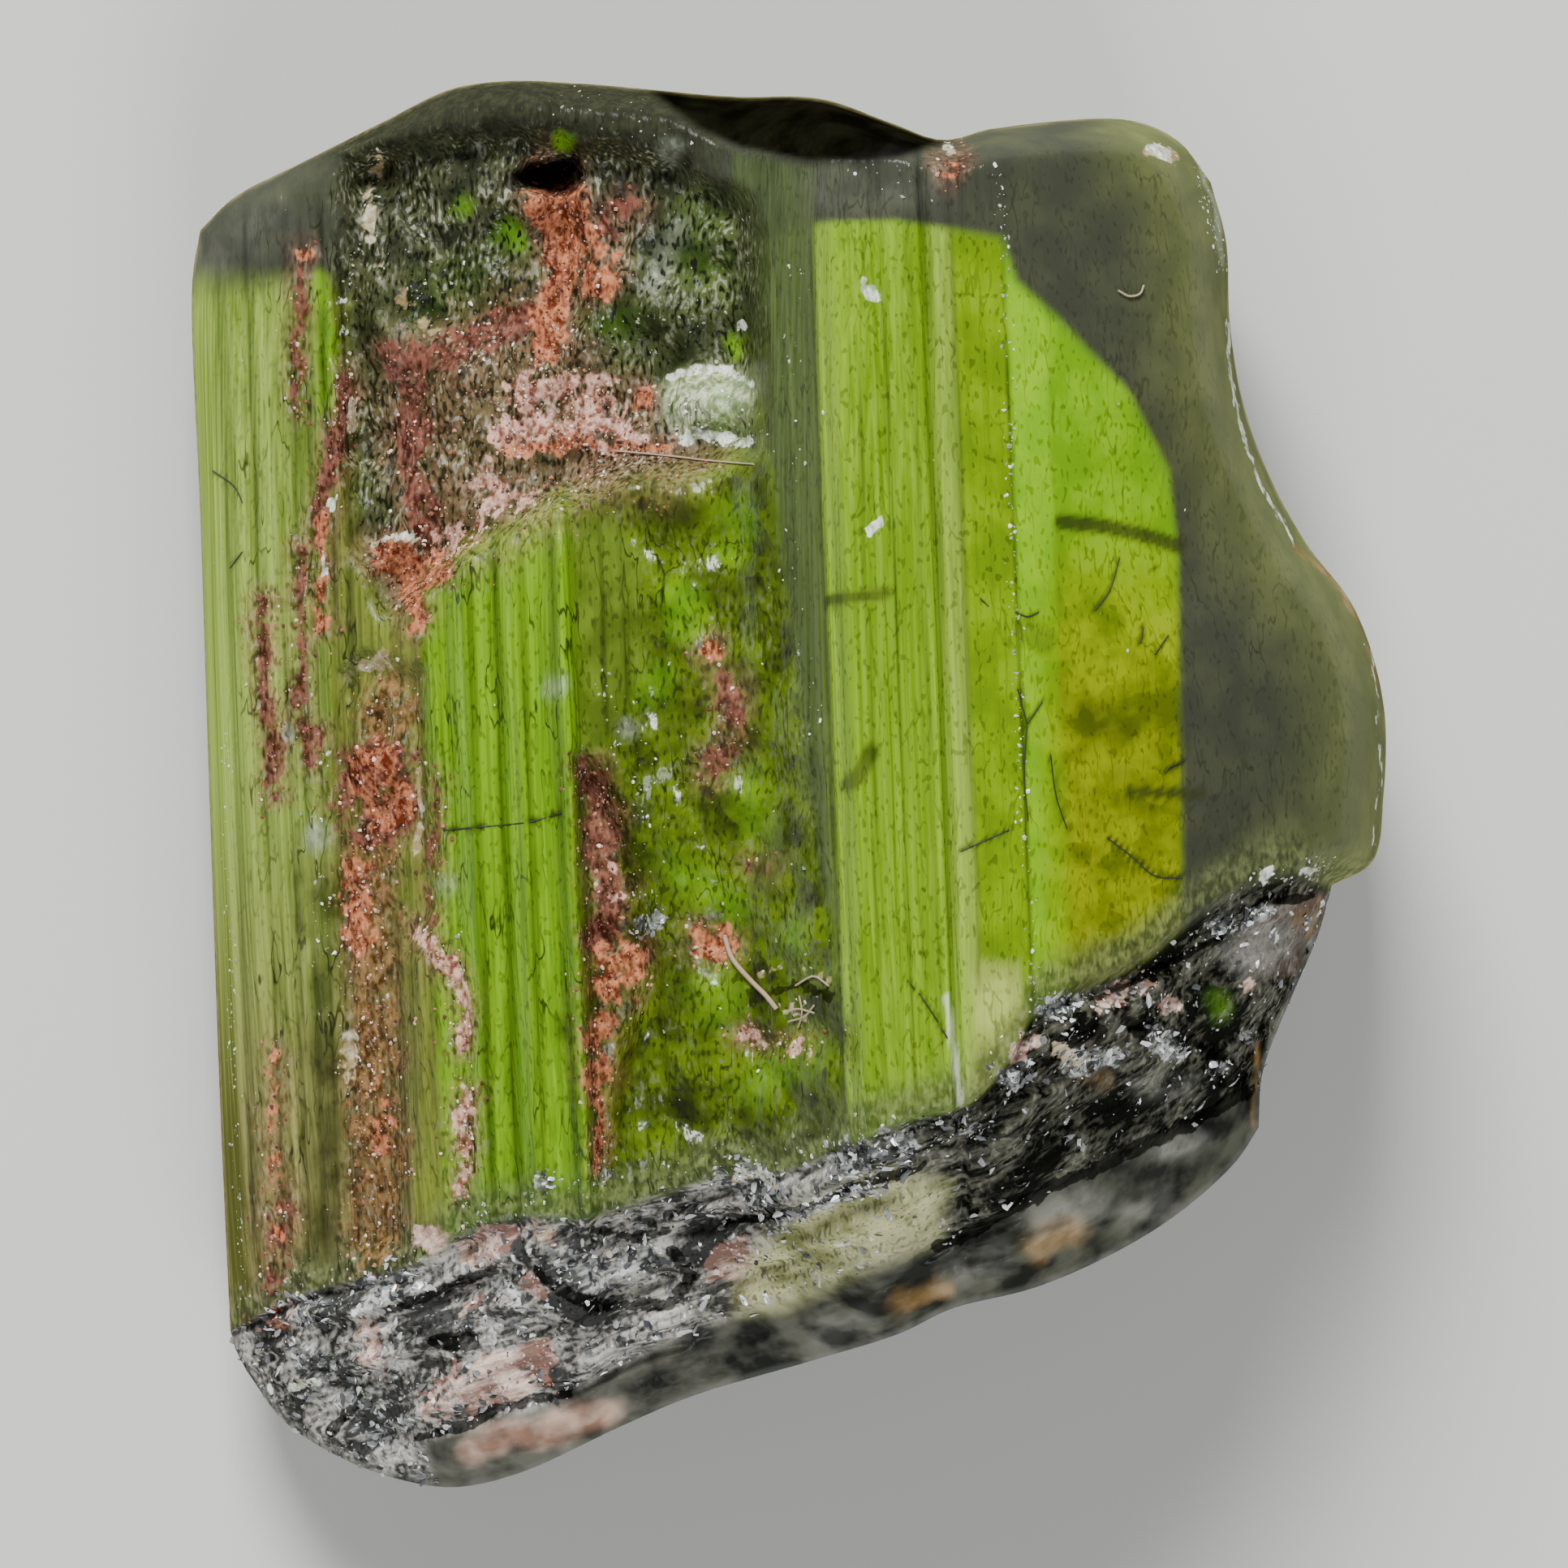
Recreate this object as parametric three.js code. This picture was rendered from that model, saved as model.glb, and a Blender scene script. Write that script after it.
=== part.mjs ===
// A loose tourmaline crystal: a water-worn piece of a striated prism, broken off at its lower end.
// It lies on a flat, worn prism face. X runs across the prism, Y along it, and Z up, in millimetres.
// The origin is at the middle of the box, on the surface that the stone rests on.
// The stone is one closed mesh: a front relief over its outline, and an underside turned in to a flat face.

import * as THREE from "three";

// Driving dimensions of the prism
const LEAN = 0.04; // the prism axis leans this much to the left for each millimetre up the stone
const CROWN = 0.011; // how fast the faces drop towards both ends, per square millimetre
const CROWN_CENTRE = 0.6;

// Silhouette of the stone, seen from above, as five edges that share their corners
const LEFT_EDGE = [[-6.18, -6.06], [-6.29, -3.63], [-6.41, -0.16], [-6.51, 2.94], [-6.6, 5.6], [-6.51, 6.16]];
const TOP_EDGE = [
  [-6.51, 6.16], [-6.11, 6.53], [-5.39, 6.89], [-4.49, 7.33], [-3.73, 7.69], [-3.14, 7.78], [-2.24, 7.75],
  [-0.62, 7.6], [0.37, 7.56], [1.18, 7.28], [1.72, 7.1], [2.28, 7.23], [3.79, 7.33], [4.33, 7.1], [4.69, 6.65],
];
const RIGHT_EDGE = [
  [6.04, -1.11], [6.49, -0.85], [6.61, -0.16], [6.61, 0.92], [6.29, 1.95], [5.75, 2.67], [5.35, 3.39],
  [5.05, 4.2], [4.9, 5.1], [4.86, 6.0], [4.69, 6.65],
];
const LOWER_EDGE = [
  [-5.99, -6.52], [-5.59, -7.05], [-5.03, -7.42], [-4.36, -7.68], [-3.68, -7.78], [-2.96, -7.62],
  [-1.88, -7.12], [-1.07, -6.77], [0.28, -6.36], [1.27, -6.04], [1.81, -5.78], [2.75, -5.54],
  [3.61, -5.17], [4.33, -4.73], [4.96, -4.17], [5.22, -3.79],
];
const END_LEFT_EDGE = [[-5.99, -6.52], [-6.12, -6.27], [-6.18, -6.06]];
const END_RIGHT_EDGE = [[5.22, -3.79], [5.26, -3.18], [5.59, -2.32], [5.88, -1.65], [6.04, -1.11]];

// The line where the prism faces stop at the broken end
const BREAK_LINE = [
  [-6.18, -6.06], [-5.39, -5.62], [-4.13, -5.26], [-3.59, -4.9], [-2.96, -4.69], [-2.24, -4.71],
  [-0.8, -4.26], [-0.08, -4.18], [1.36, -3.58], [1.99, -3.4], [2.44, -2.91], [2.75, -2.35],
  [3.88, -1.84], [4.42, -1.42], [5.05, -1.03], [5.59, -0.91], [6.04, -1.11],
];

// Section of the prism: height of the faces at each station across it, a straight face between two stations
const SECTION = [
  [-6.5, 1.95], [-5.95, 2.7], [-4.9, 3.5], [-4.05, 4.15], [-2.4, 5.15], [-2.2, 5.0], [-0.45, 5.7],
  [0.45, 6.7], [0.72, 7.15], [1.14, 7.3], [1.22, 7.22], [1.3, 7.34], [1.66, 7.42], [1.76, 7.28],
  [1.86, 7.42], [2.6, 7.2], [4.3, 6.1], [5.2, 5.35], [6.8, 4.0],
];
const FACES_FROM = -5.95;
const FACES_TO = 2.6;

// Rim: the share of the face height at which the silhouette lies, and the width over which the front rolls to it
const STONE_LEFT = -6.6;
const STONE_FOOT = -7.78;
const STONE_LENGTH = 15.56;
const RIM_SHARE_FOOT = 0.58;
const RIM_SHARE_TOP = 0.62;
const ROLL_LEFT = 0.3;
const ROLL_GROWTH = 0.015; // per millimetre to the right

// Underside: the share of the way to the middle over which it turns in to the flat face
const UNDERSIDE_INSET = 0.15;
const UNDERSIDE_MIDDLE = [-0.3, 0];
const UNDERSIDE_RINGS = 4;

// The broken end: how its surface curves down to the rim, its drop below the faces, and its ledges
const END_BULGE = 1.5;
const END_STEP = 0.22;
const END_STEP_SHARE = 0.08;
const LEDGE_COUNT = 4;
const LEDGE_HEIGHT = 0.2;
const LEDGE_STRAY = { share: 0.06, size: 1.4, salt: 11 };
const LEDGE_RISER = [0.55, 0.95]; // the part of each tread over which it steps up
const END_FADE = { rim: 5, edge: 8, ledges: 6 }; // how fast the roughness fades in from the rim and the break line
const END_LUMPS = 0.3;
const END_LUMP_SIZE = 0.9;
const END_SALT = 7;

// The lens-shaped chip at the top, below which the faces start
const CHIP_LINE = [[-1.25, 7.3], [-0.6, 6.95], [0.28, 6.84], [1.2, 6.84], [1.75, 7.1]];
const CHIP_SLOPE = 1.0;

// Half the width over which a sunken patch fades in, for wide and for narrow patches
const WIDE_FADE = 0.2;
const NARROW_FADE = 0.15;

// The etched hollow in the upper left, with its floor, pit, rust channel and pale lump
const HOLLOW = [
  [-4.85, 6.9], [-2.96, 7.2], [-1.25, 6.9], [-0.4, 6.36], [-0.31, 4.74], [-0.31, 3.66], [-1.34, 3.5],
  [-2.24, 3.3], [-3.32, 2.76], [-3.86, 2.4], [-4.4, 1.86], [-4.76, 2.76], [-4.9, 5.1],
];
const HOLLOW_DEPTH = 0.62;
const HOLLOW_ROUGHNESS = 0.34;
const HOLLOW_LUMP_SIZE = 0.75;
const HOLLOW_SALT = 3;
const PIT = { x: -2.6, y: 6.72, across: 0.45, along: 0.28, height: -0.85 };
const CHANNEL = { x: -2.5, y: 5.7, across: 0.42, along: 1.1, height: -0.35 };
const PALE_LUMP = { x: -0.85, y: 4.2, across: 0.52, along: 0.4, height: 0.5 };

// The bumpy field to the right of the green band, with the groove along its left side
const BUMPS = [
  [-2.11, 3.2], [-0.26, 3.55], [-0.04, 2.4], [0.28, 0.6], [0.41, -1.2], [0.68, -2.1], [0.84, -3.27],
  [0.19, -4.05], [-2.02, -4.35], [-2.17, -2.1], [-2.22, 0.06], [-1.61, 1.32], [-1.61, 2.4],
];
const BUMPS_DEPTH = 0.2;
const BUMP_SIZE = 0.74;
const BUMP_HEIGHT = 0.26;
const BUMP_STRETCH = 1.25; // the length of a bump over its width
const WEDGE = [[-2.3, 0.3], [-2.02, 0.06], [-1.61, -1.02], [-1.49, -2.1], [-1.75, -2.91], [-2.05, -4.3]];
const WEDGE_DEPTH = 0.42;

// The stained column between the pale face and the green band, and the rust knot at its head
const STAINED_COLUMN = [
  [-4.9, 1.2], [-4.67, 1.4], [-4.04, 1.23], [-3.95, -0.3], [-3.82, -1.38], [-4.18, -1.92],
  [-4.24, -5.1], [-4.76, -5.16], [-4.94, -3.0], [-4.99, -0.84],
];
const COLUMN_DEPTH = 0.3;
const KNOT = { x: -4.5, y: 0.5, across: 0.48, along: 0.85, height: 0.34 };
const KNOT_PIT = { x: -4.52, y: 0.62, across: 0.24, along: 0.34, height: -0.32 };

// Ribs along the prism: the green band has strong ones, the pale face weaker ones
const BAND_FROM = -3.95;
const BAND_TO = -2.35;
const BAND_TOP = 3.0;
const BAND_RIB_WIDTH = 0.53;
const BAND_RIB_HEIGHT = 0.09;
const BAND_TOP_FADE = 0.4;
const PALE_FROM = -6.2;
const PALE_TO = -5.1;
const PALE_RIB_WIDTH = 0.52;
const PALE_RIB_HEIGHT = 0.05;
const RIB_FADE = 0.2;
const RIB_WANDER = { height: 0.08, perMillimetre: 0.2, row: 3.3 };
const RIB_RIPPLE = { height: 0.04, perMillimetre: 0.7, row: 8.1 };

// The low swells of the two lobes on the right flank, and the dimple between them
const FLANK_LOBES = [
  { x: 4.0, y: 5.3, across: 2.0, along: 2.6, height: 0.16 },
  { x: 5.3, y: 0.4, across: 2.0, along: 2.4, height: 0.18 },
  { x: 4.2, y: 2.8, across: 1.6, along: 1.6, height: -0.12 },
];

// Fineness of the mesh
const LEFT_COLUMNS = 4;
const FACE_COLUMN_WIDTH = 0.27;
const RIGHT_COLUMNS = 15;
const PRISM_ROWS = 42;
const END_ROWS = 13;
const CURVE_SAMPLES = 160;

// Small mathematics

const lerp = THREE.MathUtils.lerp;
const smooth = THREE.MathUtils.smoothstep;
const across = (x, y) => x + LEAN * y;

// The value at s of a line through [station, value] pairs in rising order.
function along(line, s) {
  const last = line.length - 1;
  if (s <= line[0][0]) return line[0][1];
  if (s >= line[last][0]) return line[last][1];
  const next = line.findIndex(([station]) => station > s);
  const [a, from] = line[next - 1];
  const [b, to] = line[next];
  return lerp(from, to, (s - a) / (b - a));
}

// A fixed pseudo-random number from 0 to 1 for a whole-numbered cell.
function chance(i, j, salt = 0) {
  const value = Math.sin(i * 127.1 + j * 311.7 + salt * 74.7) * 43758.5453;
  return value - Math.floor(value);
}

// Smooth noise from -1 to 1 with one swell per unit.
function swell(x, y, salt = 0) {
  const i = Math.floor(x);
  const j = Math.floor(y);
  const u = smooth(x - i, 0, 1);
  const v = smooth(y - j, 0, 1);
  const low = lerp(chance(i, j, salt), chance(i + 1, j, salt), u);
  const high = lerp(chance(i, j + 1, salt), chance(i + 1, j + 1, salt), u);
  return 2 * lerp(low, high, v) - 1;
}

// Two octaves of swell, for lumps with smaller lumps on them.
function lumps(x, y, size, salt = 0) {
  return (swell(x / size, y / size, salt) + 0.5 * swell((2 * x) / size, (2 * y) / size, salt + 5)) / 1.5;
}

// Domes packed side by side, 1 at the top of a dome and 0 in the creases between them.
function domes(x, y, size) {
  const i = Math.floor(x / size);
  const j = Math.floor(y / size);
  let nearest = 2;
  for (let di = -1; di <= 1; di += 1) {
    for (let dj = -1; dj <= 1; dj += 1) {
      const cx = i + di + 0.2 + 0.6 * chance(i + di, j + dj, 1);
      const cy = j + dj + 0.2 + 0.6 * chance(i + di, j + dj, 2);
      nearest = Math.min(nearest, Math.hypot(x / size - cx, y / size - cy));
    }
  }
  return Math.max(0, 1 - 1.4 * nearest * nearest);
}

// The distance from a point to the segment between a and b.
function distanceToSegment(x, y, [ax, ay], [bx, by]) {
  const dx = bx - ax;
  const dy = by - ay;
  const t = THREE.MathUtils.clamp(((x - ax) * dx + (y - ay) * dy) / (dx * dx + dy * dy), 0, 1);
  return Math.hypot(x - ax - t * dx, y - ay - t * dy);
}

// The distance from a point to a closed outline.
function distanceToOutline(x, y, outline) {
  let nearest = Infinity;
  outline.forEach((a, i) => {
    const b = outline[(i + 1) % outline.length];
    nearest = Math.min(nearest, distanceToSegment(x, y, a, b));
  });
  return nearest;
}

// True when a point is inside a closed outline.
function isInside(x, y, outline) {
  let inside = false;
  outline.forEach(([ax, ay], i) => {
    const [bx, by] = outline[(i + 1) % outline.length];
    if (ay > y !== by > y && x < ax + ((y - ay) * (bx - ax)) / (by - ay)) inside = !inside;
  });
  return inside;
}

// A patch that is 1 inside an outline and fades to 0 across its edge.
function patch(x, y, outline, blur = WIDE_FADE) {
  const depth = distanceToOutline(x, y, outline) * (isInside(x, y, outline) ? 1 : -1);
  return smooth(depth, -blur, blur);
}

// A round swelling, or a pit if its height is below zero.
function knob(x, y, { x: cx, y: cy, across: a, along: b, height }) {
  const r = Math.hypot((x - cx) / a, (y - cy) / b);
  return r < 1 ? height * (1 - r * r) ** 2 * (1 + r * r) : 0;
}

// The outline as curves

// A smooth curve through points of the plan.
function curveThrough(points) {
  const knots = points.map(([x, y]) => new THREE.Vector3(x, y, 0));
  return new THREE.CatmullRomCurve3(knots, false, "centripetal");
}

const plan = {
  left: curveThrough(LEFT_EDGE),
  top: curveThrough(TOP_EDGE),
  right: curveThrough(RIGHT_EDGE),
  lower: curveThrough(LOWER_EDGE),
  endLeft: curveThrough(END_LEFT_EDGE),
  endRight: curveThrough(END_RIGHT_EDGE),
  breakLine: curveThrough(BREAK_LINE),
};

const sampled = (curve) => curve.getSpacedPoints(CURVE_SAMPLES).map((p) => [p.x, p.y]);

const silhouette = [
  ...sampled(plan.lower),
  ...sampled(plan.endRight).slice(1),
  ...sampled(plan.right).slice(1),
  ...sampled(plan.top).reverse().slice(1),
  ...sampled(plan.left).reverse().slice(1),
  ...sampled(plan.endLeft).reverse().slice(1, -1),
];

// The point of a cross-running curve at a station across the prism.
function pointAtStation(samples, station) {
  const found = samples.findIndex(([x, y]) => across(x, y) >= station);
  if (found <= 0) return found === 0 ? samples[0] : samples[samples.length - 1];
  const [ax, ay] = samples[found - 1];
  const [bx, by] = samples[found];
  const t = (station - across(ax, ay)) / (across(bx, by) - across(ax, ay));
  return [lerp(ax, bx, t), lerp(ay, by, t)];
}

// Columns are numbered from 0 to 3: a margin to 1, the prism faces to 2, and the right flank to 3.
function stationOf(column, samples) {
  const start = across(...samples[0]);
  const end = across(...samples[samples.length - 1]);
  if (column <= 1) return lerp(start, FACES_FROM, column);
  if (column <= 2) return lerp(FACES_FROM, FACES_TO, column - 1);
  return lerp(FACES_TO, end, column - 2);
}

// The relief of the front

const rimHeight = (x, y) =>
  along(SECTION, across(x, y)) * lerp(RIM_SHARE_FOOT, RIM_SHARE_TOP, (y - STONE_FOOT) / STONE_LENGTH);

// A quarter-round from 0 at the silhouette to 1 where the front has rolled over.
function roll(x, distance) {
  const open = 1 - Math.min(1, distance / (ROLL_LEFT + ROLL_GROWTH * (x - STONE_LEFT)));
  return Math.sqrt(1 - open * open);
}

// Long ribs with V-shaped grooves between them, which wander a little along the prism.
function ribs(s, y, width) {
  const stray = ({ height, perMillimetre, row }) => height * swell(perMillimetre * y, row);
  const phase = (s + stray(RIB_WANDER) + stray(RIB_RIPPLE)) / width;
  return 1 - 2 * Math.abs(2 * (phase - Math.floor(phase)) - 1);
}

// The etched hollow: a rough floor with a pit, a channel and a pale lump.
function hollow(x, y) {
  const share = patch(x, y, HOLLOW);
  if (share === 0) return 0;
  const floor = -HOLLOW_DEPTH + HOLLOW_ROUGHNESS * lumps(x, y, HOLLOW_LUMP_SIZE, HOLLOW_SALT);
  return share * (floor + knob(x, y, PIT) + knob(x, y, CHANNEL) + knob(x, y, PALE_LUMP));
}

// The bumpy field: domes a little below the faces beside it.
function bumps(x, y) {
  const share = patch(x, y, BUMPS);
  if (share === 0) return 0;
  return share * (BUMP_HEIGHT * domes(x, y / BUMP_STRETCH, BUMP_SIZE) - BUMPS_DEPTH);
}

// Ribs of the green band and of the pale face on its left.
function faceRibs(x, y) {
  const s = across(x, y);
  const between = (from, to) => smooth(s, from, from + RIB_FADE) * (1 - smooth(s, to, to + RIB_FADE));
  const onBand = between(BAND_FROM, BAND_TO);
  const belowHollow = 1 - smooth(y, BAND_TOP - BAND_TOP_FADE, BAND_TOP);
  const onPale = between(PALE_FROM, PALE_TO);
  return (
    onBand * belowHollow * BAND_RIB_HEIGHT * ribs(s, y, BAND_RIB_WIDTH) +
    onPale * PALE_RIB_HEIGHT * ribs(s, y, PALE_RIB_WIDTH)
  );
}

// The drop of the chip at the top edge.
function chip(x, y) {
  const first = CHIP_LINE[0][0];
  const last = CHIP_LINE[CHIP_LINE.length - 1][0];
  if (x < first || x > last) return 0;
  return -CHIP_SLOPE * Math.max(0, y - along(CHIP_LINE, x));
}

// Height of the prism faces before the rim rolls over.
function faceHeight(x, y) {
  const base = along(SECTION, across(x, y)) - CROWN * (y - CROWN_CENTRE) ** 2;
  const stained = -COLUMN_DEPTH * patch(x, y, STAINED_COLUMN, NARROW_FADE) + knob(x, y, KNOT) + knob(x, y, KNOT_PIT);
  const wedge = -WEDGE_DEPTH * patch(x, y, WEDGE, NARROW_FADE);
  const lobes = FLANK_LOBES.reduce((sum, lobe) => sum + knob(x, y, lobe), 0);
  return base + hollow(x, y) + bumps(x, y) + faceRibs(x, y) + chip(x, y) + stained + wedge + lobes;
}

// Height of the front at a point of the plan.
function frontHeight(x, y) {
  const rim = rimHeight(x, y);
  return rim + (faceHeight(x, y) - rim) * roll(x, distanceToOutline(x, y, silhouette));
}

// Ledges that run along the break line, as uneven stairs down the broken end.
function ledges(x, y, down) {
  const stray = LEDGE_STRAY.share * lumps(x, y, LEDGE_STRAY.size, LEDGE_STRAY.salt);
  const stair = LEDGE_COUNT * (down + stray);
  const tread = stair - Math.floor(stair);
  return LEDGE_HEIGHT * (smooth(tread, ...LEDGE_RISER) - tread) * Math.min(1, END_FADE.ledges * down);
}

// Height of the broken end, where down runs from 0 at the break line to 1 at the rim.
function endHeight(x, y, down, [edgeX, edgeY]) {
  const rim = rimHeight(x, y);
  const fall = frontHeight(edgeX, edgeY) - rimHeight(edgeX, edgeY);
  const step = Math.min(END_STEP, fall) * smooth(down, 0, END_STEP_SHARE);
  const slope = (fall - step) * (1 - down ** END_BULGE);
  const fade = Math.min(1, END_FADE.rim * (1 - down)) * Math.min(1, END_FADE.edge * down) * Math.min(1, fall);
  const rough = END_LUMPS * lumps(x, y, END_LUMP_SIZE, END_SALT) - ledges(x, y, down);
  return rim + slope + rough * fade;
}

// The mesh

const spread = (count) => Array.from({ length: count }, (_, i) => i / count);
const easedToEnd = (t) => Math.sin((t * Math.PI) / 2) * 0.5 + t * 0.5;

// Column numbers, with a column on every edge of the section.
function columnNumbers() {
  const onFaces = [FACES_FROM];
  SECTION.map(([station]) => station)
    .filter((station) => station > FACES_FROM && station <= FACES_TO)
    .forEach((station) => {
      const from = onFaces[onFaces.length - 1];
      const pieces = Math.max(1, Math.round((station - from) / FACE_COLUMN_WIDTH));
      for (let i = 1; i <= pieces; i += 1) onFaces.push(lerp(from, station, i / pieces));
    });
  const left = spread(LEFT_COLUMNS).map((t) => t * t);
  const faces = onFaces.map((s) => 1 + (s - FACES_FROM) / (FACES_TO - FACES_FROM));
  const right = spread(RIGHT_COLUMNS).map((t) => 2 + easedToEnd(t + 1 / RIGHT_COLUMNS));
  return [...left, ...faces, ...right];
}

// A grid of plan points between a lower and an upper curve, held to a left and a right curve at its sides.
function planGrid(columns, rows, lower, upper, left, right) {
  const low = sampled(lower);
  const high = sampled(upper);
  const feet = columns.map((c) => pointAtStation(low, stationOf(c, low)));
  const heads = columns.map((c) => pointAtStation(high, stationOf(c, high)));
  const lastColumn = columns.length - 1;
  return rows.map((v) => {
    const leftPoint = left.getPointAt(v);
    const rightPoint = right.getPointAt(v);
    const straight = (i) => [lerp(feet[i][0], heads[i][0], v), lerp(feet[i][1], heads[i][1], v)];
    const [leftX, leftY] = straight(0);
    const [rightX, rightY] = straight(lastColumn);
    return columns.map((c, i) => {
      const [x, y] = straight(i);
      const leftPull = Math.max(0, 1 - c);
      const rightPull = smooth(c, 2, 3);
      return [
        x + leftPull * (leftPoint.x - leftX) + rightPull * (rightPoint.x - rightX),
        y + leftPull * (leftPoint.y - leftY) + rightPull * (rightPoint.y - rightY),
      ];
    });
  });
}

const columns = columnNumbers();
const endRows = [...spread(END_ROWS), 1].map((t) => 1 - easedToEnd(1 - t));
const prismRows = [...spread(PRISM_ROWS), 1].map(easedToEnd);

const endGrid = planGrid(columns, endRows, plan.lower, plan.breakLine, plan.endLeft, plan.endRight);
const prismGrid = planGrid(columns, prismRows, plan.breakLine, plan.top, plan.left, plan.right);

// Every front vertex, row by row, from the rim of the broken end to the top of the stone.
function frontVertices() {
  const edgePoints = prismGrid[0];
  const end = endGrid.slice(0, -1).map((row, r) =>
    row.map(([x, y], c) => [x, y, endHeight(x, y, 1 - endRows[r], edgePoints[c])]),
  );
  const prism = prismGrid.map((row) => row.map(([x, y]) => [x, y, frontHeight(x, y)]));
  return [...end, ...prism];
}

// The closed body of the stone.
function stoneGeometry() {
  const rows = frontVertices();
  const width = columns.length;
  const positions = rows.flat(2);
  const triangles = [];
  const at = (row, column) => row * width + column;

  for (let r = 0; r < rows.length - 1; r += 1) {
    for (let c = 0; c < width - 1; c += 1) {
      triangles.push(at(r, c), at(r, c + 1), at(r + 1, c + 1));
      triangles.push(at(r, c), at(r + 1, c + 1), at(r + 1, c));
    }
  }

  // The silhouette as a ring of vertex numbers, anticlockwise from above.
  const lastRow = rows.length - 1;
  const lastColumn = width - 1;
  const rim = [];
  for (let c = 0; c < lastColumn; c += 1) rim.push(at(0, c));
  for (let r = 0; r < lastRow; r += 1) rim.push(at(r, lastColumn));
  for (let c = lastColumn; c > 0; c -= 1) rim.push(at(lastRow, c));
  for (let r = lastRow; r > 0; r -= 1) rim.push(at(r, 0));

  // Rings of the underside, turning in to the flat face.
  const [middleX, middleY] = UNDERSIDE_MIDDLE;
  let outer = rim;
  for (let ring = 1; ring <= UNDERSIDE_RINGS; ring += 1) {
    const turn = (ring / UNDERSIDE_RINGS) * (Math.PI / 2);
    const inset = UNDERSIDE_INSET * (1 - Math.cos(turn));
    const inner = rim.map((index) => {
      const [x, y, z] = positions.slice(3 * index, 3 * index + 3);
      const height = ring === UNDERSIDE_RINGS ? 0 : z * (1 - Math.sin(turn));
      positions.push(lerp(x, middleX, inset), lerp(y, middleY, inset), height);
      return positions.length / 3 - 1;
    });
    outer.forEach((index, i) => {
      const next = (i + 1) % rim.length;
      triangles.push(index, inner[i], outer[next]);
      triangles.push(outer[next], inner[i], inner[next]);
    });
    outer = inner;
  }

  // The flat face, seen from below.
  const foot = outer.map((index) => new THREE.Vector2(positions[3 * index], positions[3 * index + 1]));
  THREE.ShapeUtils.triangulateShape(foot, []).forEach(([a, b, c]) => {
    triangles.push(outer[a], outer[c], outer[b]);
  });

  const geometry = new THREE.BufferGeometry();
  geometry.setAttribute("position", new THREE.Float32BufferAttribute(positions, 3));
  geometry.setIndex(triangles);
  geometry.computeVertexNormals();
  return geometry;
}

// Yellow-green tourmaline with a glassy lustre.
const tourmaline = new THREE.MeshStandardMaterial({
  color: 0x7f9a2c,
  roughness: 0.25,
  metalness: 0,
  flatShading: true,
});

const stone = new THREE.Mesh(stoneGeometry(), tourmaline);
stone.name = "tourmaline_crystal";

const group = new THREE.Group();
group.add(stone);

export default group;
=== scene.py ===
"""A loose tourmaline crystal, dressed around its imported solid.

The stone is a water-worn piece of a striated prism, broken off at its lower end. It lies on a worn
prism face, and the camera looks straight down on it. X runs across the prism, Y along it and Z up.
Plan shapes are in millimetres, as in the part's source; meshes are in metres.
"""

import logging
import math
from dataclasses import dataclass, field, replace
from enum import Enum
from typing import ClassVar

import bpy
import numpy as np
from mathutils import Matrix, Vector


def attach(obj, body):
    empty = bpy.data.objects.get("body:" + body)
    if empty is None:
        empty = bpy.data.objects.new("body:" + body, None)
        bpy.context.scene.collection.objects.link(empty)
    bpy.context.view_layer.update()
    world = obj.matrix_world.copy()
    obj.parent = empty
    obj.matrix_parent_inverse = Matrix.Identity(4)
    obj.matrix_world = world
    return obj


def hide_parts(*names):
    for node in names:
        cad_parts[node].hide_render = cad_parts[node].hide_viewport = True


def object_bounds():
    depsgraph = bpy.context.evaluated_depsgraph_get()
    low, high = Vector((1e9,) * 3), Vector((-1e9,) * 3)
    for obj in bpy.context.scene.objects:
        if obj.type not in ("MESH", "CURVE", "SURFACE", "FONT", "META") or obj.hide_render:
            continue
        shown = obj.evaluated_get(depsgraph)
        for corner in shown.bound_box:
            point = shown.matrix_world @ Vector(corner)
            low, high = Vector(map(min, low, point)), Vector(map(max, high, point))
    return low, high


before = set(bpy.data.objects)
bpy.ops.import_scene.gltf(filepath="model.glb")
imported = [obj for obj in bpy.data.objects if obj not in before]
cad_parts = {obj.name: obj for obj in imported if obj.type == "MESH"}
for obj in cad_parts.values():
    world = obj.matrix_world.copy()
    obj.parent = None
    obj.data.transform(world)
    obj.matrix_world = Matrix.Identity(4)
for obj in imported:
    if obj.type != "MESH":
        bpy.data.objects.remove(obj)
CAD_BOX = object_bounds()

LOG = logging.getLogger("tourmaline")
MM = 0.001
STONE_NODE = "tourmaline_crystal"

Array = np.ndarray
Pairs = tuple[tuple[float, float], ...]
Links = dict[str | int, object] | tuple[object, ...]
Tree = bpy.types.NodeTree
Socket = bpy.types.NodeSocket

MATH = "ShaderNodeMath"
RANGE = "ShaderNodeMapRange"
MIX = "ShaderNodeMix"


def linear(code: str) -> tuple[float, float, float, float]:
    """Turns an sRGB hex colour into linear light with full alpha.

    Args:
        code: A colour such as "#85a12c".

    Returns:
        Red, green, blue and alpha for a shader socket.
    """
    shares = [int(code[i : i + 2], 16) / 255 for i in (1, 3, 5)]
    light = [v / 12.92 if v <= 0.04045 else ((v + 0.055) / 1.055) ** 2.4 for v in shares]
    return (light[0], light[1], light[2], 1.0)


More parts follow.
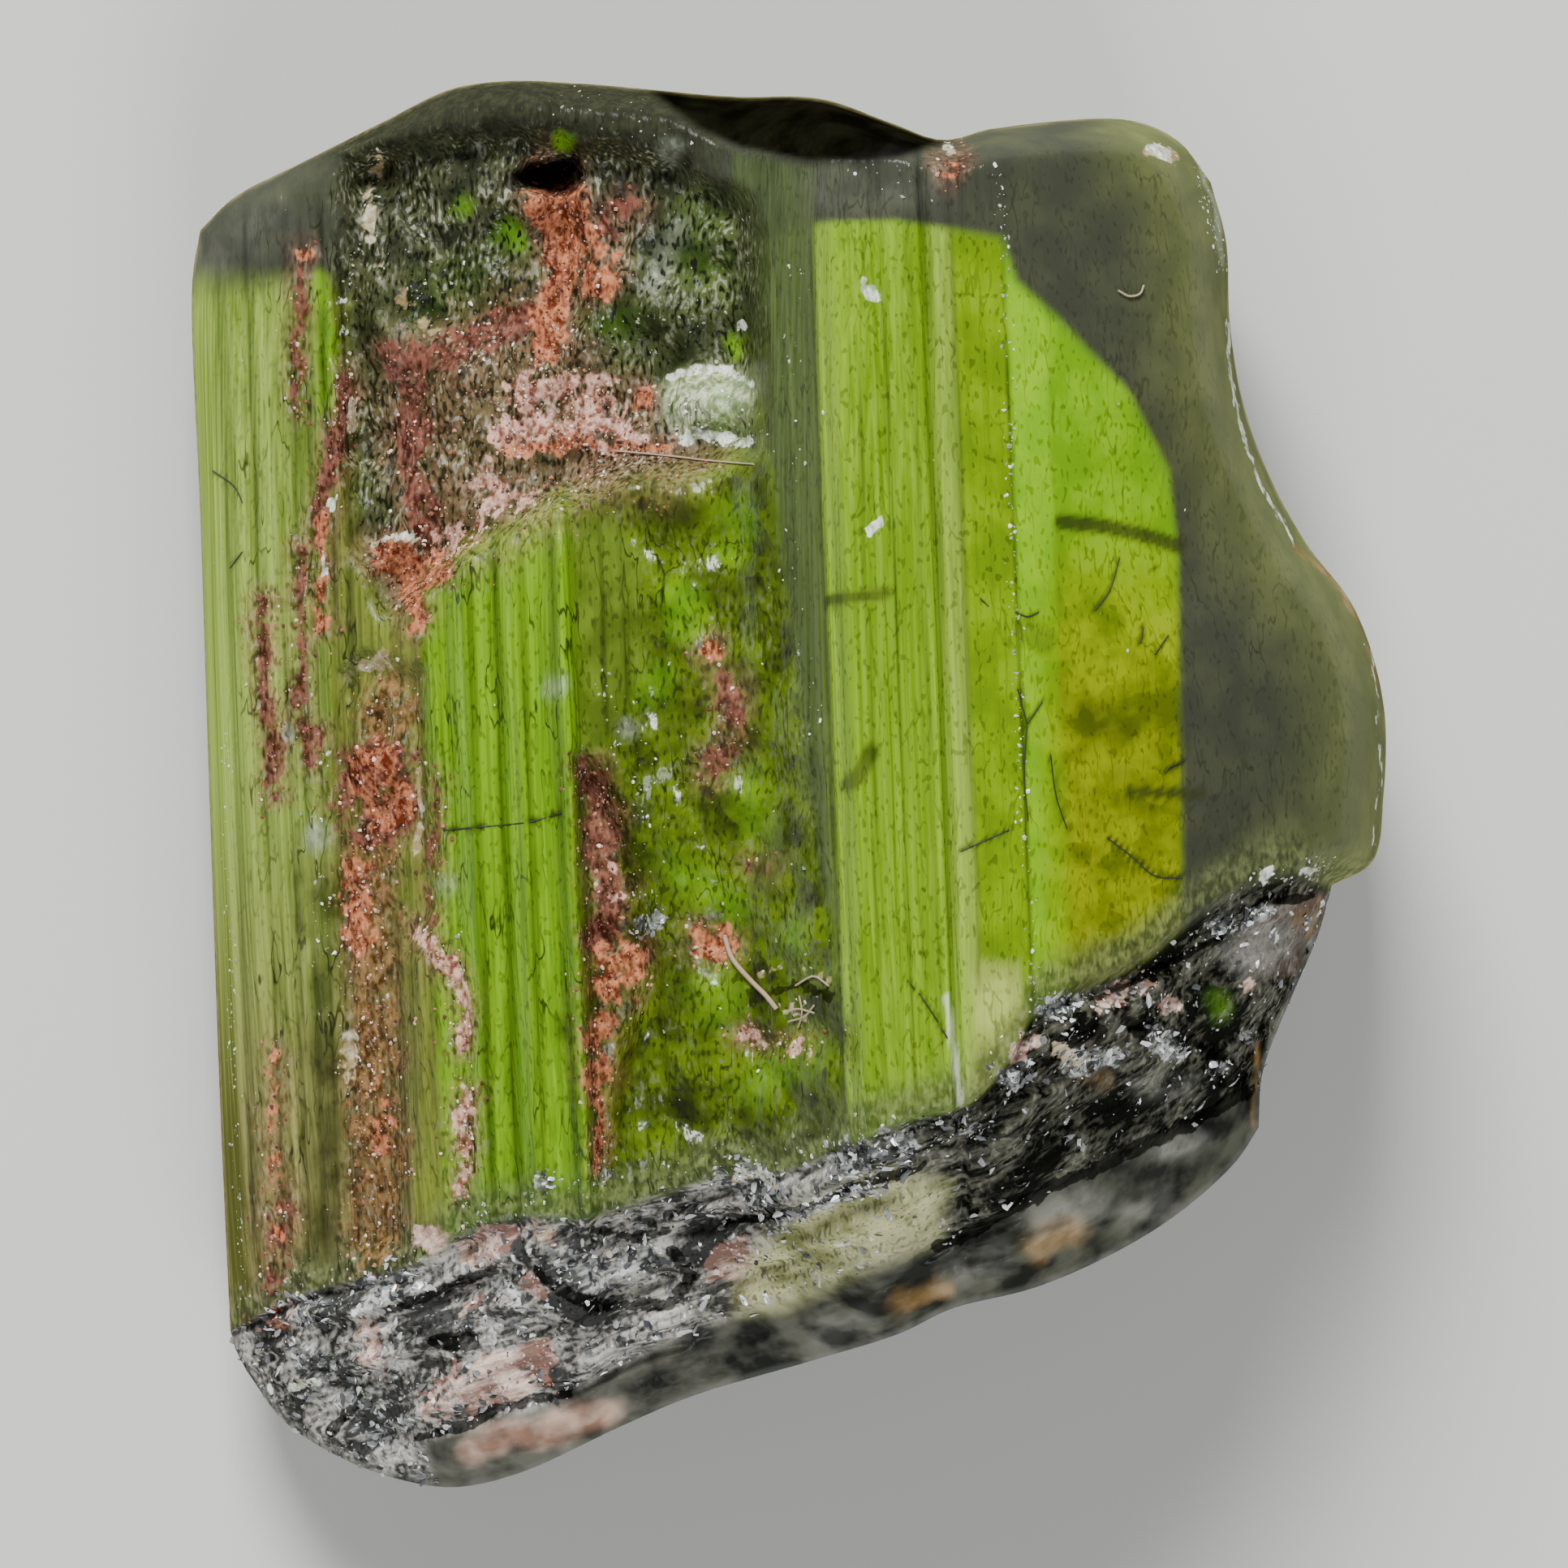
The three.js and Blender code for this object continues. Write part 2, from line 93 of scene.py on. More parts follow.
def add_node(tree: Tree, kind: str, inputs: Links = (), **settings: object) -> bpy.types.Node:
    """Adds a node with its settings, plain values and links.

    Args:
        tree: The node tree that gets the node.
        kind: Blender's name of the node type.
        inputs: Values, or output sockets that feed the inputs, in order or by the input's name or number.
        settings: Properties of the node.

    Returns:
        The new node.
    """
    node = tree.nodes.new(kind)
    for name, value in settings.items():
        setattr(node, name, value)
    for key, value in inputs.items() if isinstance(inputs, dict) else enumerate(inputs):
        socket = next(s for i, s in enumerate(node.inputs) if s.enabled and key in (s.name, i))
        if isinstance(value, Socket):
            tree.links.new(value, socket)
        else:
            socket.default_value = value
    return node


def feed(tree: Tree, kind: str, inputs: Links = (), **settings: object) -> Socket:
    """Adds a node and gives the first output that its settings leave open."""
    node = add_node(tree, kind, inputs, **settings)
    return next(socket for socket in node.outputs if socket.enabled)


def smoothstep(value: Array, low: float, high: float) -> Array:
    """Fades from 0 at low to 1 at high."""
    t = np.clip((value - low) / (high - low), 0, 1)
    return t * t * (3 - 2 * t)


def chance(i: Array, j: Array, salt: float = 0) -> Array:
    """Gives a fixed pseudo-random number from 0 to 1 for each whole-numbered cell."""
    value = np.sin(i * 127.1 + j * 311.7 + salt * 74.7) * 43758.5453
    return value - np.floor(value)


def swell(x: Array, y: Array, salt: float = 0) -> Array:
    """Gives smooth noise from -1 to 1 with one swell per unit.

    Args:
        x: Places across, in units of a swell.
        y: Places along, in units of a swell.
        salt: A number that picks another noise.

    Returns:
        The noise at each place.
    """
    i = np.floor(x)
    j = np.floor(y)
    u = smoothstep(x - i, 0, 1)
    v = smoothstep(y - j, 0, 1)
    low = chance(i, j, salt) * (1 - u) + chance(i + 1, j, salt) * u
    high = chance(i, j + 1, salt) * (1 - u) + chance(i + 1, j + 1, salt) * u
    return 2 * (low * (1 - v) + high * v) - 1


def lumps(x: Array, y: Array, size: float, salt: float = 0, octaves: int = 2) -> Array:
    """Adds up swells of halving size, for lumps with smaller lumps on them.

    Args:
        x: Places across, in millimetres.
        y: Places along, in millimetres.
        size: The size of the largest lumps.
        salt: A number that picks another noise.
        octaves: How many sizes of lump there are.

    Returns:
        Heights from -1 to 1.
    """
    total = sum(swell(x * 2**k / size, y * 2**k / size, salt + 5 * k) / 2**k for k in range(octaves))
    return total / sum(1 / 2**k for k in range(octaves))


def domes(x: Array, y: Array, size: float) -> Array:
    """Packs domes side by side, 1 at the top of a dome and 0 in the creases between them."""
    i = np.floor(x / size)
    j = np.floor(y / size)
    nearest = np.full_like(x, 2.0)
    for di in (-1, 0, 1):
        for dj in (-1, 0, 1):
            cx = i + di + 0.2 + 0.6 * chance(i + di, j + dj, 1)
            cy = j + dj + 0.2 + 0.6 * chance(i + di, j + dj, 2)
            nearest = np.minimum(nearest, np.hypot(x / size - cx, y / size - cy))
    return np.maximum(0, 1 - 1.4 * nearest**2)


def distance_to_line(x: Array, y: Array, line: Array) -> Array:
    """Gives the distance from each place to a line through points.

    Args:
        x: Places across.
        y: Places along.
        line: The points of the line, one row each.

    Returns:
        The distance to the nearest segment, or to the point if there is only one.
    """
    if len(line) == 1:
        return np.hypot(x - line[0][0], y - line[0][1])
    nearest = np.full_like(x, np.inf)
    for (ax, ay), (bx, by) in zip(line[:-1], line[1:]):
        dx = bx - ax
        dy = by - ay
        t = np.clip(((x - ax) * dx + (y - ay) * dy) / (dx * dx + dy * dy), 0, 1)
        nearest = np.minimum(nearest, np.hypot(x - ax - t * dx, y - ay - t * dy))
    return nearest


def is_inside(x: Array, y: Array, outline: Array) -> Array:
    """Tells which places are inside a closed outline."""
    inside = np.zeros(x.shape, bool)
    for (ax, ay), (bx, by) in zip(outline, np.roll(outline, -1, axis=0)):
        if ay == by:
            continue
        crosses = (ay > y) != (by > y)
        inside ^= crosses & (x < ax + (y - ay) * (bx - ax) / (by - ay))
    return inside


def patch(x: Array, y: Array, outline: Pairs, blur: float = 0.2) -> Array:
    """Gives 1 inside an outline, fading to 0 across its edge.

    Args:
        x: Places across, in millimetres.
        y: Places along, in millimetres.
        outline: Corners of the patch.
        blur: Half the width of the fade.

    Returns:
        The share of the patch at each place.
    """
    closed = np.array([*outline, outline[0]])
    depth = distance_to_line(x, y, closed) * np.where(is_inside(x, y, closed[:-1]), 1, -1)
    return smoothstep(depth, -blur, blur)


def smooth_curve(points: Pairs, count: int) -> Array:
    """Runs a centripetal Catmull-Rom curve through points and spaces samples evenly along it.

    Args:
        points: The points that the curve passes through.
        count: The number of steps between samples.

    Returns:
        count + 1 points, one row each.
    """
    knots = np.array(points)
    knots = np.vstack([2 * knots[0] - knots[1], knots, 2 * knots[-1] - knots[-2]])
    t = np.linspace(0, 1, 40, endpoint=False)[:, None]
    pieces = []
    for a, b, c, d in zip(knots[:-3], knots[1:-2], knots[2:-1], knots[3:]):
        before, here, after = (np.sqrt(np.linalg.norm(q - p)) for p, q in ((a, b), (b, c), (c, d)))
        start = ((b - a) / before - (c - a) / (before + here) + (c - b) / here) * here
        end = ((c - b) / here - (d - b) / (here + after) + (d - c) / after) * here
        square = 3 * (c - b) - 2 * start - end
        cube = 2 * (b - c) + start + end
        pieces.append(b + start * t + square * t**2 + cube * t**3)
    dense = np.vstack([*pieces, knots[-2]])
    length = np.concatenate([[0], np.cumsum(np.linalg.norm(np.diff(dense, axis=0), axis=1))])
    even = np.linspace(0, length[-1], count + 1)
    return np.column_stack([np.interp(even, length, dense[:, k]) for k in (0, 1)])


@dataclass(frozen=True)
class Plan:
    """The stone seen from above, in millimetres: its silhouette as edges that share corners."""

    lean: float = 0.04
    left: Pairs = ((-6.18, -6.06), (-6.29, -3.63), (-6.41, -0.16), (-6.51, 2.94), (-6.6, 5.6), (-6.51, 6.16))
    top: Pairs = (
        (-6.51, 6.16), (-6.11, 6.53), (-5.39, 6.89), (-4.49, 7.33), (-3.73, 7.69), (-3.14, 7.78),
        (-2.24, 7.75), (-0.62, 7.6), (0.37, 7.56), (1.18, 7.28), (1.72, 7.1), (2.28, 7.23),
        (3.79, 7.33), (4.33, 7.1), (4.69, 6.65),
    )
    right: Pairs = (
        (6.04, -1.11), (6.49, -0.85), (6.61, -0.16), (6.61, 0.92), (6.29, 1.95), (5.75, 2.67),
        (5.35, 3.39), (5.05, 4.2), (4.9, 5.1), (4.86, 6.0), (4.69, 6.65),
    )
    lower: Pairs = (
        (-5.99, -6.52), (-5.59, -7.05), (-5.03, -7.42), (-4.36, -7.68), (-3.68, -7.78), (-2.96, -7.62),
        (-1.88, -7.12), (-1.07, -6.77), (0.28, -6.36), (1.27, -6.04), (1.81, -5.78), (2.75, -5.54),
        (3.61, -5.17), (4.33, -4.73), (4.96, -4.17), (5.22, -3.79),
    )
    end_left: Pairs = ((-5.99, -6.52), (-6.12, -6.27), (-6.18, -6.06))
    end_right: Pairs = ((5.22, -3.79), (5.26, -3.18), (5.59, -2.32), (5.88, -1.65), (6.04, -1.11))
    break_line: Pairs = (
        (-6.18, -6.06), (-5.39, -5.62), (-4.13, -5.26), (-3.59, -4.9), (-2.96, -4.69), (-2.24, -4.71),
        (-0.8, -4.26), (-0.08, -4.18), (1.36, -3.58), (1.99, -3.4), (2.44, -2.91), (2.75, -2.35),
        (3.88, -1.84), (4.42, -1.42), (5.05, -1.03), (5.59, -0.91), (6.04, -1.11),
    )
    faces_from: float = -5.95
    faces_to: float = 2.6
    curve_steps: int = 90

    def across(self, x: Array, y: Array) -> Array:
        """Gives the station across the prism, which stays the same along its axis."""
        return x + self.lean * y

    def silhouette(self) -> Array:
        """Gives the whole silhouette as one closed line."""
        up = [self.lower, self.end_right, self.right]
        back = [self.top, self.left, self.end_left]
        edges = [smooth_curve(edge, self.curve_steps) for edge in up]
        edges += [smooth_curve(edge, self.curve_steps)[::-1] for edge in back]
        return np.vstack([edges[0], *[edge[1:] for edge in edges[1:]]])

    def on_curve(self, edge: Pairs, columns: Array) -> Array:
        """Finds where the columns of the mesh meet a cross-running edge.

        Args:
            edge: The edge's points.
            columns: Column numbers: a margin up to 1, the prism faces to 2, the right flank to 3.

        Returns:
            One point for each column.
        """
        points = smooth_curve(edge, 6 * self.curve_steps)
        stations = np.maximum.accumulate(self.across(points[:, 0], points[:, 1]))
        marks = [stations[0], self.faces_from, self.faces_to, stations[-1]]
        wanted = np.interp(columns, [0, 1, 2, 3], marks)
        return np.column_stack([np.interp(wanted, stations, points[:, k]) for k in (0, 1)])

    def grid(self, columns: Array, rows: Array, edges: tuple[Pairs, Pairs, Pairs, Pairs]) -> Array:
        """Spreads a grid between four edges.

        Args:
            columns: Column numbers, as on_curve takes them.
            rows: Shares of the way from the lower edge to the upper one.
            edges: The lower, upper, left and right edges.

        Returns:
            Points in an array of rows, columns and two coordinates.
        """
        lower, upper, left, right = edges
        feet = self.on_curve(lower, columns)
        heads = self.on_curve(upper, columns)
        straight = feet[None] + rows[:, None, None] * (heads - feet)[None]
        steps = np.linspace(0, 1, self.curve_steps + 1)
        pulls = []
        for edge, column, weight in (
            (left, 0, np.maximum(0, 1 - columns)),
            (right, -1, smoothstep(columns, 2, 3)),
        ):
            line = smooth_curve(edge, self.curve_steps)
            on_edge = np.column_stack([np.interp(rows, steps, line[:, k]) for k in (0, 1)])
            pulls.append((on_edge - straight[:, column])[:, None] * weight[None, :, None])
        return straight + pulls[0] + pulls[1]


@dataclass(frozen=True)
class Knob:
    """A round swelling, or a pit if its height is below zero, in millimetres."""

    x: float
    y: float
    across: float
    along: float
    height: float

    def at(self, x: Array, y: Array) -> Array:
        """Gives the height that the knob adds at each place."""
        r2 = np.minimum(1, ((x - self.x) / self.across) ** 2 + ((y - self.y) / self.along) ** 2)
        return self.height * (1 - r2) ** 2 * (1 + r2)


@dataclass(frozen=True)
class Groove:
    """A long line along the prism, in millimetres: a groove, or a raised rib if its depth is below zero."""

    station: float
    width: float
    depth: float
    foot: float
    head: float
    fade: float = 0.6

    def at(self, s: Array, y: Array) -> Array:
        """Gives the line's share at each place, uneven along its way.

        Args:
            s: Stations across the prism.
            y: Places along.

        Returns:
            1 in the middle of the line and 0 beside it.
        """
        near = np.abs(s - self.station) < 2 * self.width
        share = np.zeros_like(s)
        along = y[near]
        row = np.full_like(along, 7.3 * self.station)
        reach = np.abs(s[near] - self.station - 0.4 * self.width * swell(0.9 * along, row, 113)) / self.width
        ends = smoothstep(along, self.foot, self.foot + self.fade)
        ends *= 1 - smoothstep(along, self.head - self.fade, self.head)
        share[near] = np.maximum(0, 1 - reach) * ends * (0.7 + 0.3 * swell(1.3 * along, row, 117))
        return share


# Each row is a station, a width, a depth (below zero for a rib), a foot and a head. Most stations are
# bright or dark lines that a scratch program listed from the photograph; the rest is set by hand.
GROOVES = tuple(Groove(*row) for row in (
    (-6.1, 0.04, 0.015, -5.5, 6.2), (-5.76, 0.04, 0.03, -5.5, 6.6), (-5.6, 0.06, -0.012, -5.5, 5.6),
    (-5.48, 0.05, 0.04, -5.5, 2.0), (-5.3, 0.06, 0.06, -5.5, 6.6), (-5.14, 0.04, 0.03, -5.5, 6.6),
    (-4.92, 0.06, 0.06, -5.5, 6.6), (-4.7, 0.04, 0.04, 1.0, 6.6), (-3.76, 0.03, 0.02, -5.0, 2.4),
    (-3.54, 0.06, -0.03, -5.0, 2.4), (-3.4, 0.06, 0.08, -5.0, 2.6), (-3.14, 0.045, 0.04, -4.9, 3.0),
    (-3.02, 0.05, -0.03, -4.9, 3.0), (-2.83, 0.05, 0.07, -4.8, 3.2), (-2.66, 0.06, -0.03, -4.8, 3.2),
    (-2.5, 0.06, 0.06, -4.7, 3.2), (-2.37, 0.05, -0.03, -4.7, 3.2), (-2.25, 0.05, 0.08, -4.6, 3.3),
    (-1.95, 0.04, 0.04, 0.2, 3.2), (-1.72, 0.04, 0.04, 0.6, 3.3), (0.06, 0.03, -0.015, 2.5, 6.0),
    (0.24, 0.03, -0.015, 1.5, 5.4), (0.5, 0.035, 0.03, -3.9, 6.3), (0.57, 0.03, -0.02, -3.9, 6.2),
    (0.64, 0.03, 0.02, -3.8, 6.1), (0.95, 0.03, 0.01, -3.7, 5.0), (1.26, 0.035, 0.05, -3.7, 5.6),
    (1.57, 0.03, 0.03, -3.6, 6.5), (1.66, 0.03, -0.02, -3.6, 6.5), (1.74, 0.055, 0.06, -4.2, 7.2),
    (1.84, 0.03, -0.02, -4.4, 6.5), (2.03, 0.03, 0.03, -2.5, 6.7), (2.6, 0.03, 0.02, -3.0, 5.0),
))


@dataclass(frozen=True)
class Relief:
    """The heights of the front, in millimetres, from the prism's section down to its fine striae."""

    plan: Plan = Plan()
    crown: float = 0.011
    crown_centre: float = 0.6
    section: Pairs = (
        (-6.5, 1.95), (-5.95, 2.7), (-4.9, 3.5), (-4.05, 4.15), (-2.4, 5.15), (-2.2, 5.0), (-0.45, 5.7),
        (0.45, 6.7), (0.72, 7.15), (1.14, 7.3), (1.22, 7.22), (1.3, 7.34), (1.66, 7.42), (1.76, 7.28),
        (1.86, 7.42), (2.6, 7.2), (4.3, 6.1), (5.2, 5.35), (6.8, 4.0),
    )
    stone_left: float = -6.6
    stone_foot: float = -7.78
    stone_length: float = 15.56
    rim_share_foot: float = 0.58
    rim_share_top: float = 0.62
    roll_left: float = 0.3
    roll_growth: float = 0.015
    end_bulge: float = 1.5
    end_step: float = 0.22
    end_step_share: float = 0.08
    ledge_count: int = 4
    ledge_height: float = 0.2
    end_lumps: float = 0.3
    end_lump_size: float = 0.9
    hackle: float = 0.16
    hackle_length: float = 1.3
    hackle_width: float = 0.24
    hackle_slope: float = 22.0
    chip_line: Pairs = ((-1.25, 7.3), (-0.6, 6.95), (0.28, 6.84), (1.2, 6.84), (1.75, 7.1))
    chip_slope: float = 1.0
    hollow_edge: Pairs = (
        (-4.85, 6.9), (-2.96, 7.2), (-1.25, 6.9), (-0.4, 6.36), (-0.31, 4.74), (-0.31, 3.66), (-1.34, 3.5),
        (-2.24, 3.3), (-3.32, 2.76), (-3.86, 2.4), (-4.4, 1.86), (-4.76, 2.76), (-4.9, 5.1),
    )
    hollow_depth: float = 0.62
    hollow_roughness: float = 0.34
    hollow_lump_size: float = 0.75
    hollow_knobs: tuple[Knob, ...] = (
        Knob(-2.6, 6.72, 0.45, 0.28, -0.85),
        Knob(-2.5, 5.7, 0.42, 1.1, -0.35),
        Knob(-0.85, 4.2, 0.56, 0.42, 0.36),
    )
    bumps_edge: Pairs = (
        (-2.11, 3.2), (-0.26, 3.55), (-0.04, 2.4), (0.28, 0.6), (0.41, -1.2), (0.68, -2.1), (0.84, -3.27),
        (0.19, -4.05), (-2.02, -4.35), (-2.17, -2.1), (-2.22, 0.06), (-1.61, 1.32), (-1.61, 2.4),
    )
    bumps_depth: float = 0.2
    bump_size: float = 0.74
    bump_height: float = 0.26
    wedge: Pairs = ((-2.3, 0.3), (-2.02, 0.06), (-1.61, -1.02), (-1.49, -2.1), (-1.75, -2.91), (-2.05, -4.3))
    wedge_depth: float = 0.42
    column_edge: Pairs = (
        (-4.9, 1.2), (-4.67, 1.4), (-4.04, 1.23), (-3.95, -0.3), (-3.82, -1.38), (-4.18, -1.92),
        (-4.24, -5.1), (-4.76, -5.16), (-4.94, -3.0), (-4.99, -0.84),
    )
    column_depth: float = 0.3
    knot: Knob = Knob(-4.5, 0.5, 0.48, 0.85, 0.34)
    knot_pit: Knob = Knob(-4.52, 0.62, 0.24, 0.34, -0.32)
    flank_lobes: tuple[Knob, ...] = (
        Knob(4.0, 5.3, 2.0, 2.6, 0.16),
        Knob(5.3, 0.4, 2.0, 2.4, 0.18),
        Knob(4.2, 2.8, 1.6, 1.6, -0.12),
    )
    band: tuple[float, float] = (-3.95, -2.35)
    band_top: float = 3.0
    band_rib: tuple[float, float] = (0.53, 0.09)
    pale_rib: tuple[float, float] = (0.52, 0.02)
    stria_width: float = 0.17
    stria_height: float = 0.018

    def base(self, x: Array, y: Array) -> Array:
        """Gives the height of the prism's plain section."""
        stations, heights = zip(*self.section)
        return np.interp(self.plan.across(x, y), stations, heights)

    def rim(self, x: Array, y: Array) -> Array:
        """Gives the height of the silhouette above the base."""
        up = (y - self.stone_foot) / self.stone_length
        return self.base(x, y) * (self.rim_share_foot + up * (self.rim_share_top - self.rim_share_foot))

    def roll(self, x: Array, distance: Array) -> Array:
        """Rolls the front over to the rim.

        Args:
            x: Places across.
            distance: How far each place is from the silhouette.

        Returns:
            A quarter-round from 0 at the silhouette to 1 where the front has rolled over.
        """
        width = self.roll_left + self.roll_growth * (x - self.stone_left)
        open_share = 1 - np.minimum(1, distance / width)
        return np.sqrt(np.maximum(0, 1 - open_share**2))

    @staticmethod
    def ribs(s: Array, y: Array, width: float, wander: float = 1.0) -> Array:
        """Runs long ribs with V-shaped grooves between them along the prism.

        Args:
            s: Stations across the prism.
            y: Places along.
            width: The width of a rib.
            wander: How much the ribs stray from straight.

        Returns:
            Heights from -1 in a groove to 1 on a rib.
        """
        stray = wander * (0.08 * swell(0.2 * y, 3.3 + 0 * y) + 0.04 * swell(0.7 * y, 8.1 + 0 * y))
        phase = (s + stray) / width
        return 1 - 2 * np.abs(2 * (phase - np.floor(phase)) - 1)

    def hollow(self, x: Array, y: Array) -> Array:
        """Sinks the etched hollow, with its rough floor, pit, channel and pale lump."""
        frayed_x = x + 0.07 * lumps(x, y, 0.25, 25, 3)
        frayed_y = y + 0.1 * lumps(x, y, 0.25, 26, 3)
        share = patch(frayed_x, frayed_y, self.hollow_edge)
        floor = self.hollow_roughness * lumps(x, y, self.hollow_lump_size, 3) - self.hollow_depth
        floor += 0.12 * np.abs(lumps(1.5 * x, 0.8 * y, 0.34, 21, 3)) + 0.05 * lumps(x, 0.6 * y, 0.13, 31, 2)
        return share * (floor + sum(knob.at(x, y) for knob in self.hollow_knobs))

    def bumps(self, x: Array, y: Array) -> Array:
        """Raises the field of domes a little below the faces beside it."""
        share = patch(x, y, self.bumps_edge)
        bend_x = x + 0.1 * lumps(x, y, 0.5, 41)
        bend_y = y + 0.1 * lumps(x, y, 0.5, 47)
        swells = domes(bend_x, 0.8 * bend_y, self.bump_size)
        swells += 0.25 * domes(bend_x + 3, bend_y, 0.31) + 0.08 * lumps(x, y, 0.16, 51, 2)
        return share * (self.bump_height * swells - self.bumps_depth)

    def face_ribs(self, x: Array, y: Array) -> Array:
        """Ribs the green band, the pale face on its left and, finely, all the long faces."""
        s = self.plan.across(x, y)
        start, stop = self.band
        on_band = smoothstep(s, start, start + 0.2) * (1 - smoothstep(s, stop, stop + 0.2))
        on_band *= 1 - smoothstep(y, self.band_top - 0.4, self.band_top)
        on_pale = smoothstep(s, -6.2, -6.0) * (1 - smoothstep(s, -5.1, -4.9))
        on_faces = smoothstep(s, -6.1, -5.7) * (1 - smoothstep(s, 2.4, 2.6))
        strength = 0.35 + 0.65 * smoothstep(swell(s / 0.45, y / 5.0, 61), -0.4, 0.6)
        fine = self.ribs(s, y, self.stria_width, 0.8) + 0.6 * self.ribs(s, y, 0.61 * self.stria_width, 0.5)
        band_width, band_height = self.band_rib
        pale_width, pale_height = self.pale_rib
        cut = sum(groove.depth * groove.at(s, y) for groove in GROOVES)
        return (
            band_height * on_band * self.ribs(s, y, band_width)
            + pale_height * on_pale * self.ribs(s, y, pale_width)
            + self.stria_height * on_faces * strength * fine
            - on_faces * cut
        )

    def chip(self, x: Array, y: Array) -> Array:
        """Drops the lens-shaped chip at the top edge."""
        stations, heights = zip(*self.chip_line)
        above = np.maximum(0, y - np.interp(x, stations, heights))
        return np.where((x > stations[0]) & (x < stations[-1]), -self.chip_slope * above, 0)

    def faces(self, x: Array, y: Array) -> Array:
        """Gives the height of the prism faces before the rim rolls over."""
        base = self.base(x, y) - self.crown * (y - self.crown_centre) ** 2
        column = patch(x, y, self.column_edge, 0.15)
        stained = column * (0.1 * lumps(x, y, 0.3, 71, 3) - self.column_depth)
        knobs = sum(knob.at(x, y) for knob in (self.knot, self.knot_pit, *self.flank_lobes))
        wedge = patch(x, y, self.wedge, 0.15) * (0.1 * lumps(x, y, 0.25, 81, 3) - self.wedge_depth)
        worn = self.hollow(x, y) + self.bumps(x, y) + self.face_ribs(x, y) + self.chip(x, y)
        return base + worn + stained + knobs + wedge

    def front(self, x: Array, y: Array) -> Array:
        """Gives the height of the front at places of the plan."""
        distance = distance_to_line(x, y, self.plan.silhouette())
        rim = self.rim(x, y)
        return rim + (self.faces(x, y) - rim) * self.roll(x, distance)

    def hackles(self, x: Array, y: Array) -> Array:
        """Runs sharp uneven splinters along the break, parallel to its edge."""
        turn = math.radians(self.hackle_slope)
        run = x * math.cos(turn) + y * math.sin(turn)
        over = y * math.cos(turn) - x * math.sin(turn) + 0.15 * lumps(x, y, 0.8, 91)
        sharp = 1 - np.abs(swell(run / self.hackle_length, over / self.hackle_width, 93))
        fine = 1 - np.abs(swell(3 * run / self.hackle_length, 2.3 * over / self.hackle_width, 97))
        return self.hackle * (sharp - 0.5) + 0.4 * self.hackle * (fine - 0.5)

    def end(self, x: Array, y: Array, down: Array, edge: Array) -> Array:
        """Gives the height of the broken end.

        Args:
            x: Places across.
            y: Places along.
            down: Shares of the way from the break line, at 0, to the rim, at 1.
            edge: The height of the break line above its rim for each place.

        Returns:
            Heights of the rough end.
        """
        step = np.minimum(self.end_step, edge) * smoothstep(down, 0, self.end_step_share)
        slope = (edge - step) * (1 - down**self.end_bulge)
        fade = np.minimum(1, 5 * (1 - down)) * np.minimum(1, 8 * down) * np.minimum(1, edge)
        stair = self.ledge_count * (down + 0.06 * lumps(x, y, 1.4, 11))
        tread = stair - np.floor(stair)
        ledges = self.ledge_height * (smoothstep(tread, 0.55, 0.95) - tread) * np.minimum(1, 6 * down)
        rough = self.end_lumps * lumps(x, y, self.end_lump_size, 7) - ledges + self.hackles(x, y)
        return self.rim(x, y) + slope + rough * fade


class Kind(Enum):
    """What a stroke lays on the stone: stains, grains, cracks and clouds, and some painted light and shade.
    """

    RUST = "rust"
    MAROON = "maroon"
    SALMON = "salmon"
    CLAY = "clay"
    FELDSPAR = "feldspar"
    SILVER = "silver"
    BLACK = "black"
    CREAM = "cream"
    WHITE = "white"
    GLOW = "glow"
    OLIVE = "olive"
    PALE = "pale"
    CRACK = "crack"
    SMEAR = "crack_shadow"
    HIGHLIGHT_STREAK = "highlight_streak"
    SMUDGE = "smudge"
    TAN = "tan"
    BLUSH = "blush"
    FLECK = "fleck"


FINE_KINDS = (Kind.CRACK, Kind.HIGHLIGHT_STREAK, Kind.FLECK, Kind.SMEAR)
GRAIN_KINDS = (Kind.FELDSPAR, Kind.SILVER, Kind.BLACK, Kind.CREAM, Kind.WHITE)
DUSTY_KINDS = (Kind.RUST, Kind.MAROON, Kind.SALMON, Kind.CLAY)


@dataclass(frozen=True)
class Stroke:
    """A line of stain, grain, crack or cloud, or of painted light or shade, on the plan, in millimetres; its
    width is half the line's.
    """

    width: float
    points: Pairs
    strength: float = 1.0

    def at(self, x: Array, y: Array, stray: Array, fade: tuple[float, float]) -> Array:
        """Gives the stroke's share at each place.

        Args:
            x: Places across.
            y: Places along.
            stray: What the stroke's width is multiplied by at each place.
            fade: Where the share starts to fall and where it ends, in half widths from the line.

        Returns:
            Shares from 0 to 1.
        """
        line = np.array(self.points)
        reach = 2.2 * fade[1] * (self.width + 0.01)
        low = line.min(axis=0) - reach
        high = line.max(axis=0) + reach
        near = (x > low[0]) & (x < high[0]) & (y > low[1]) & (y < high[1])
        share = np.zeros_like(x)
        spot = distance_to_line(x[near], y[near], line) / (self.width * stray[near] + 0.008)
        share[near] = self.strength * (1 - smoothstep(spot, *fade))
        return share


def strokes(*rows: tuple[float, ...]) -> tuple[Stroke, ...]:
    """Makes strokes from rows of a half width, a strength and, in turn, x and y of the line's points."""
    lines = [tuple(zip(row[2::2], row[3::2])) for row in rows]
    return tuple(Stroke(row[0], line, row[1]) for row, line in zip(rows, lines))


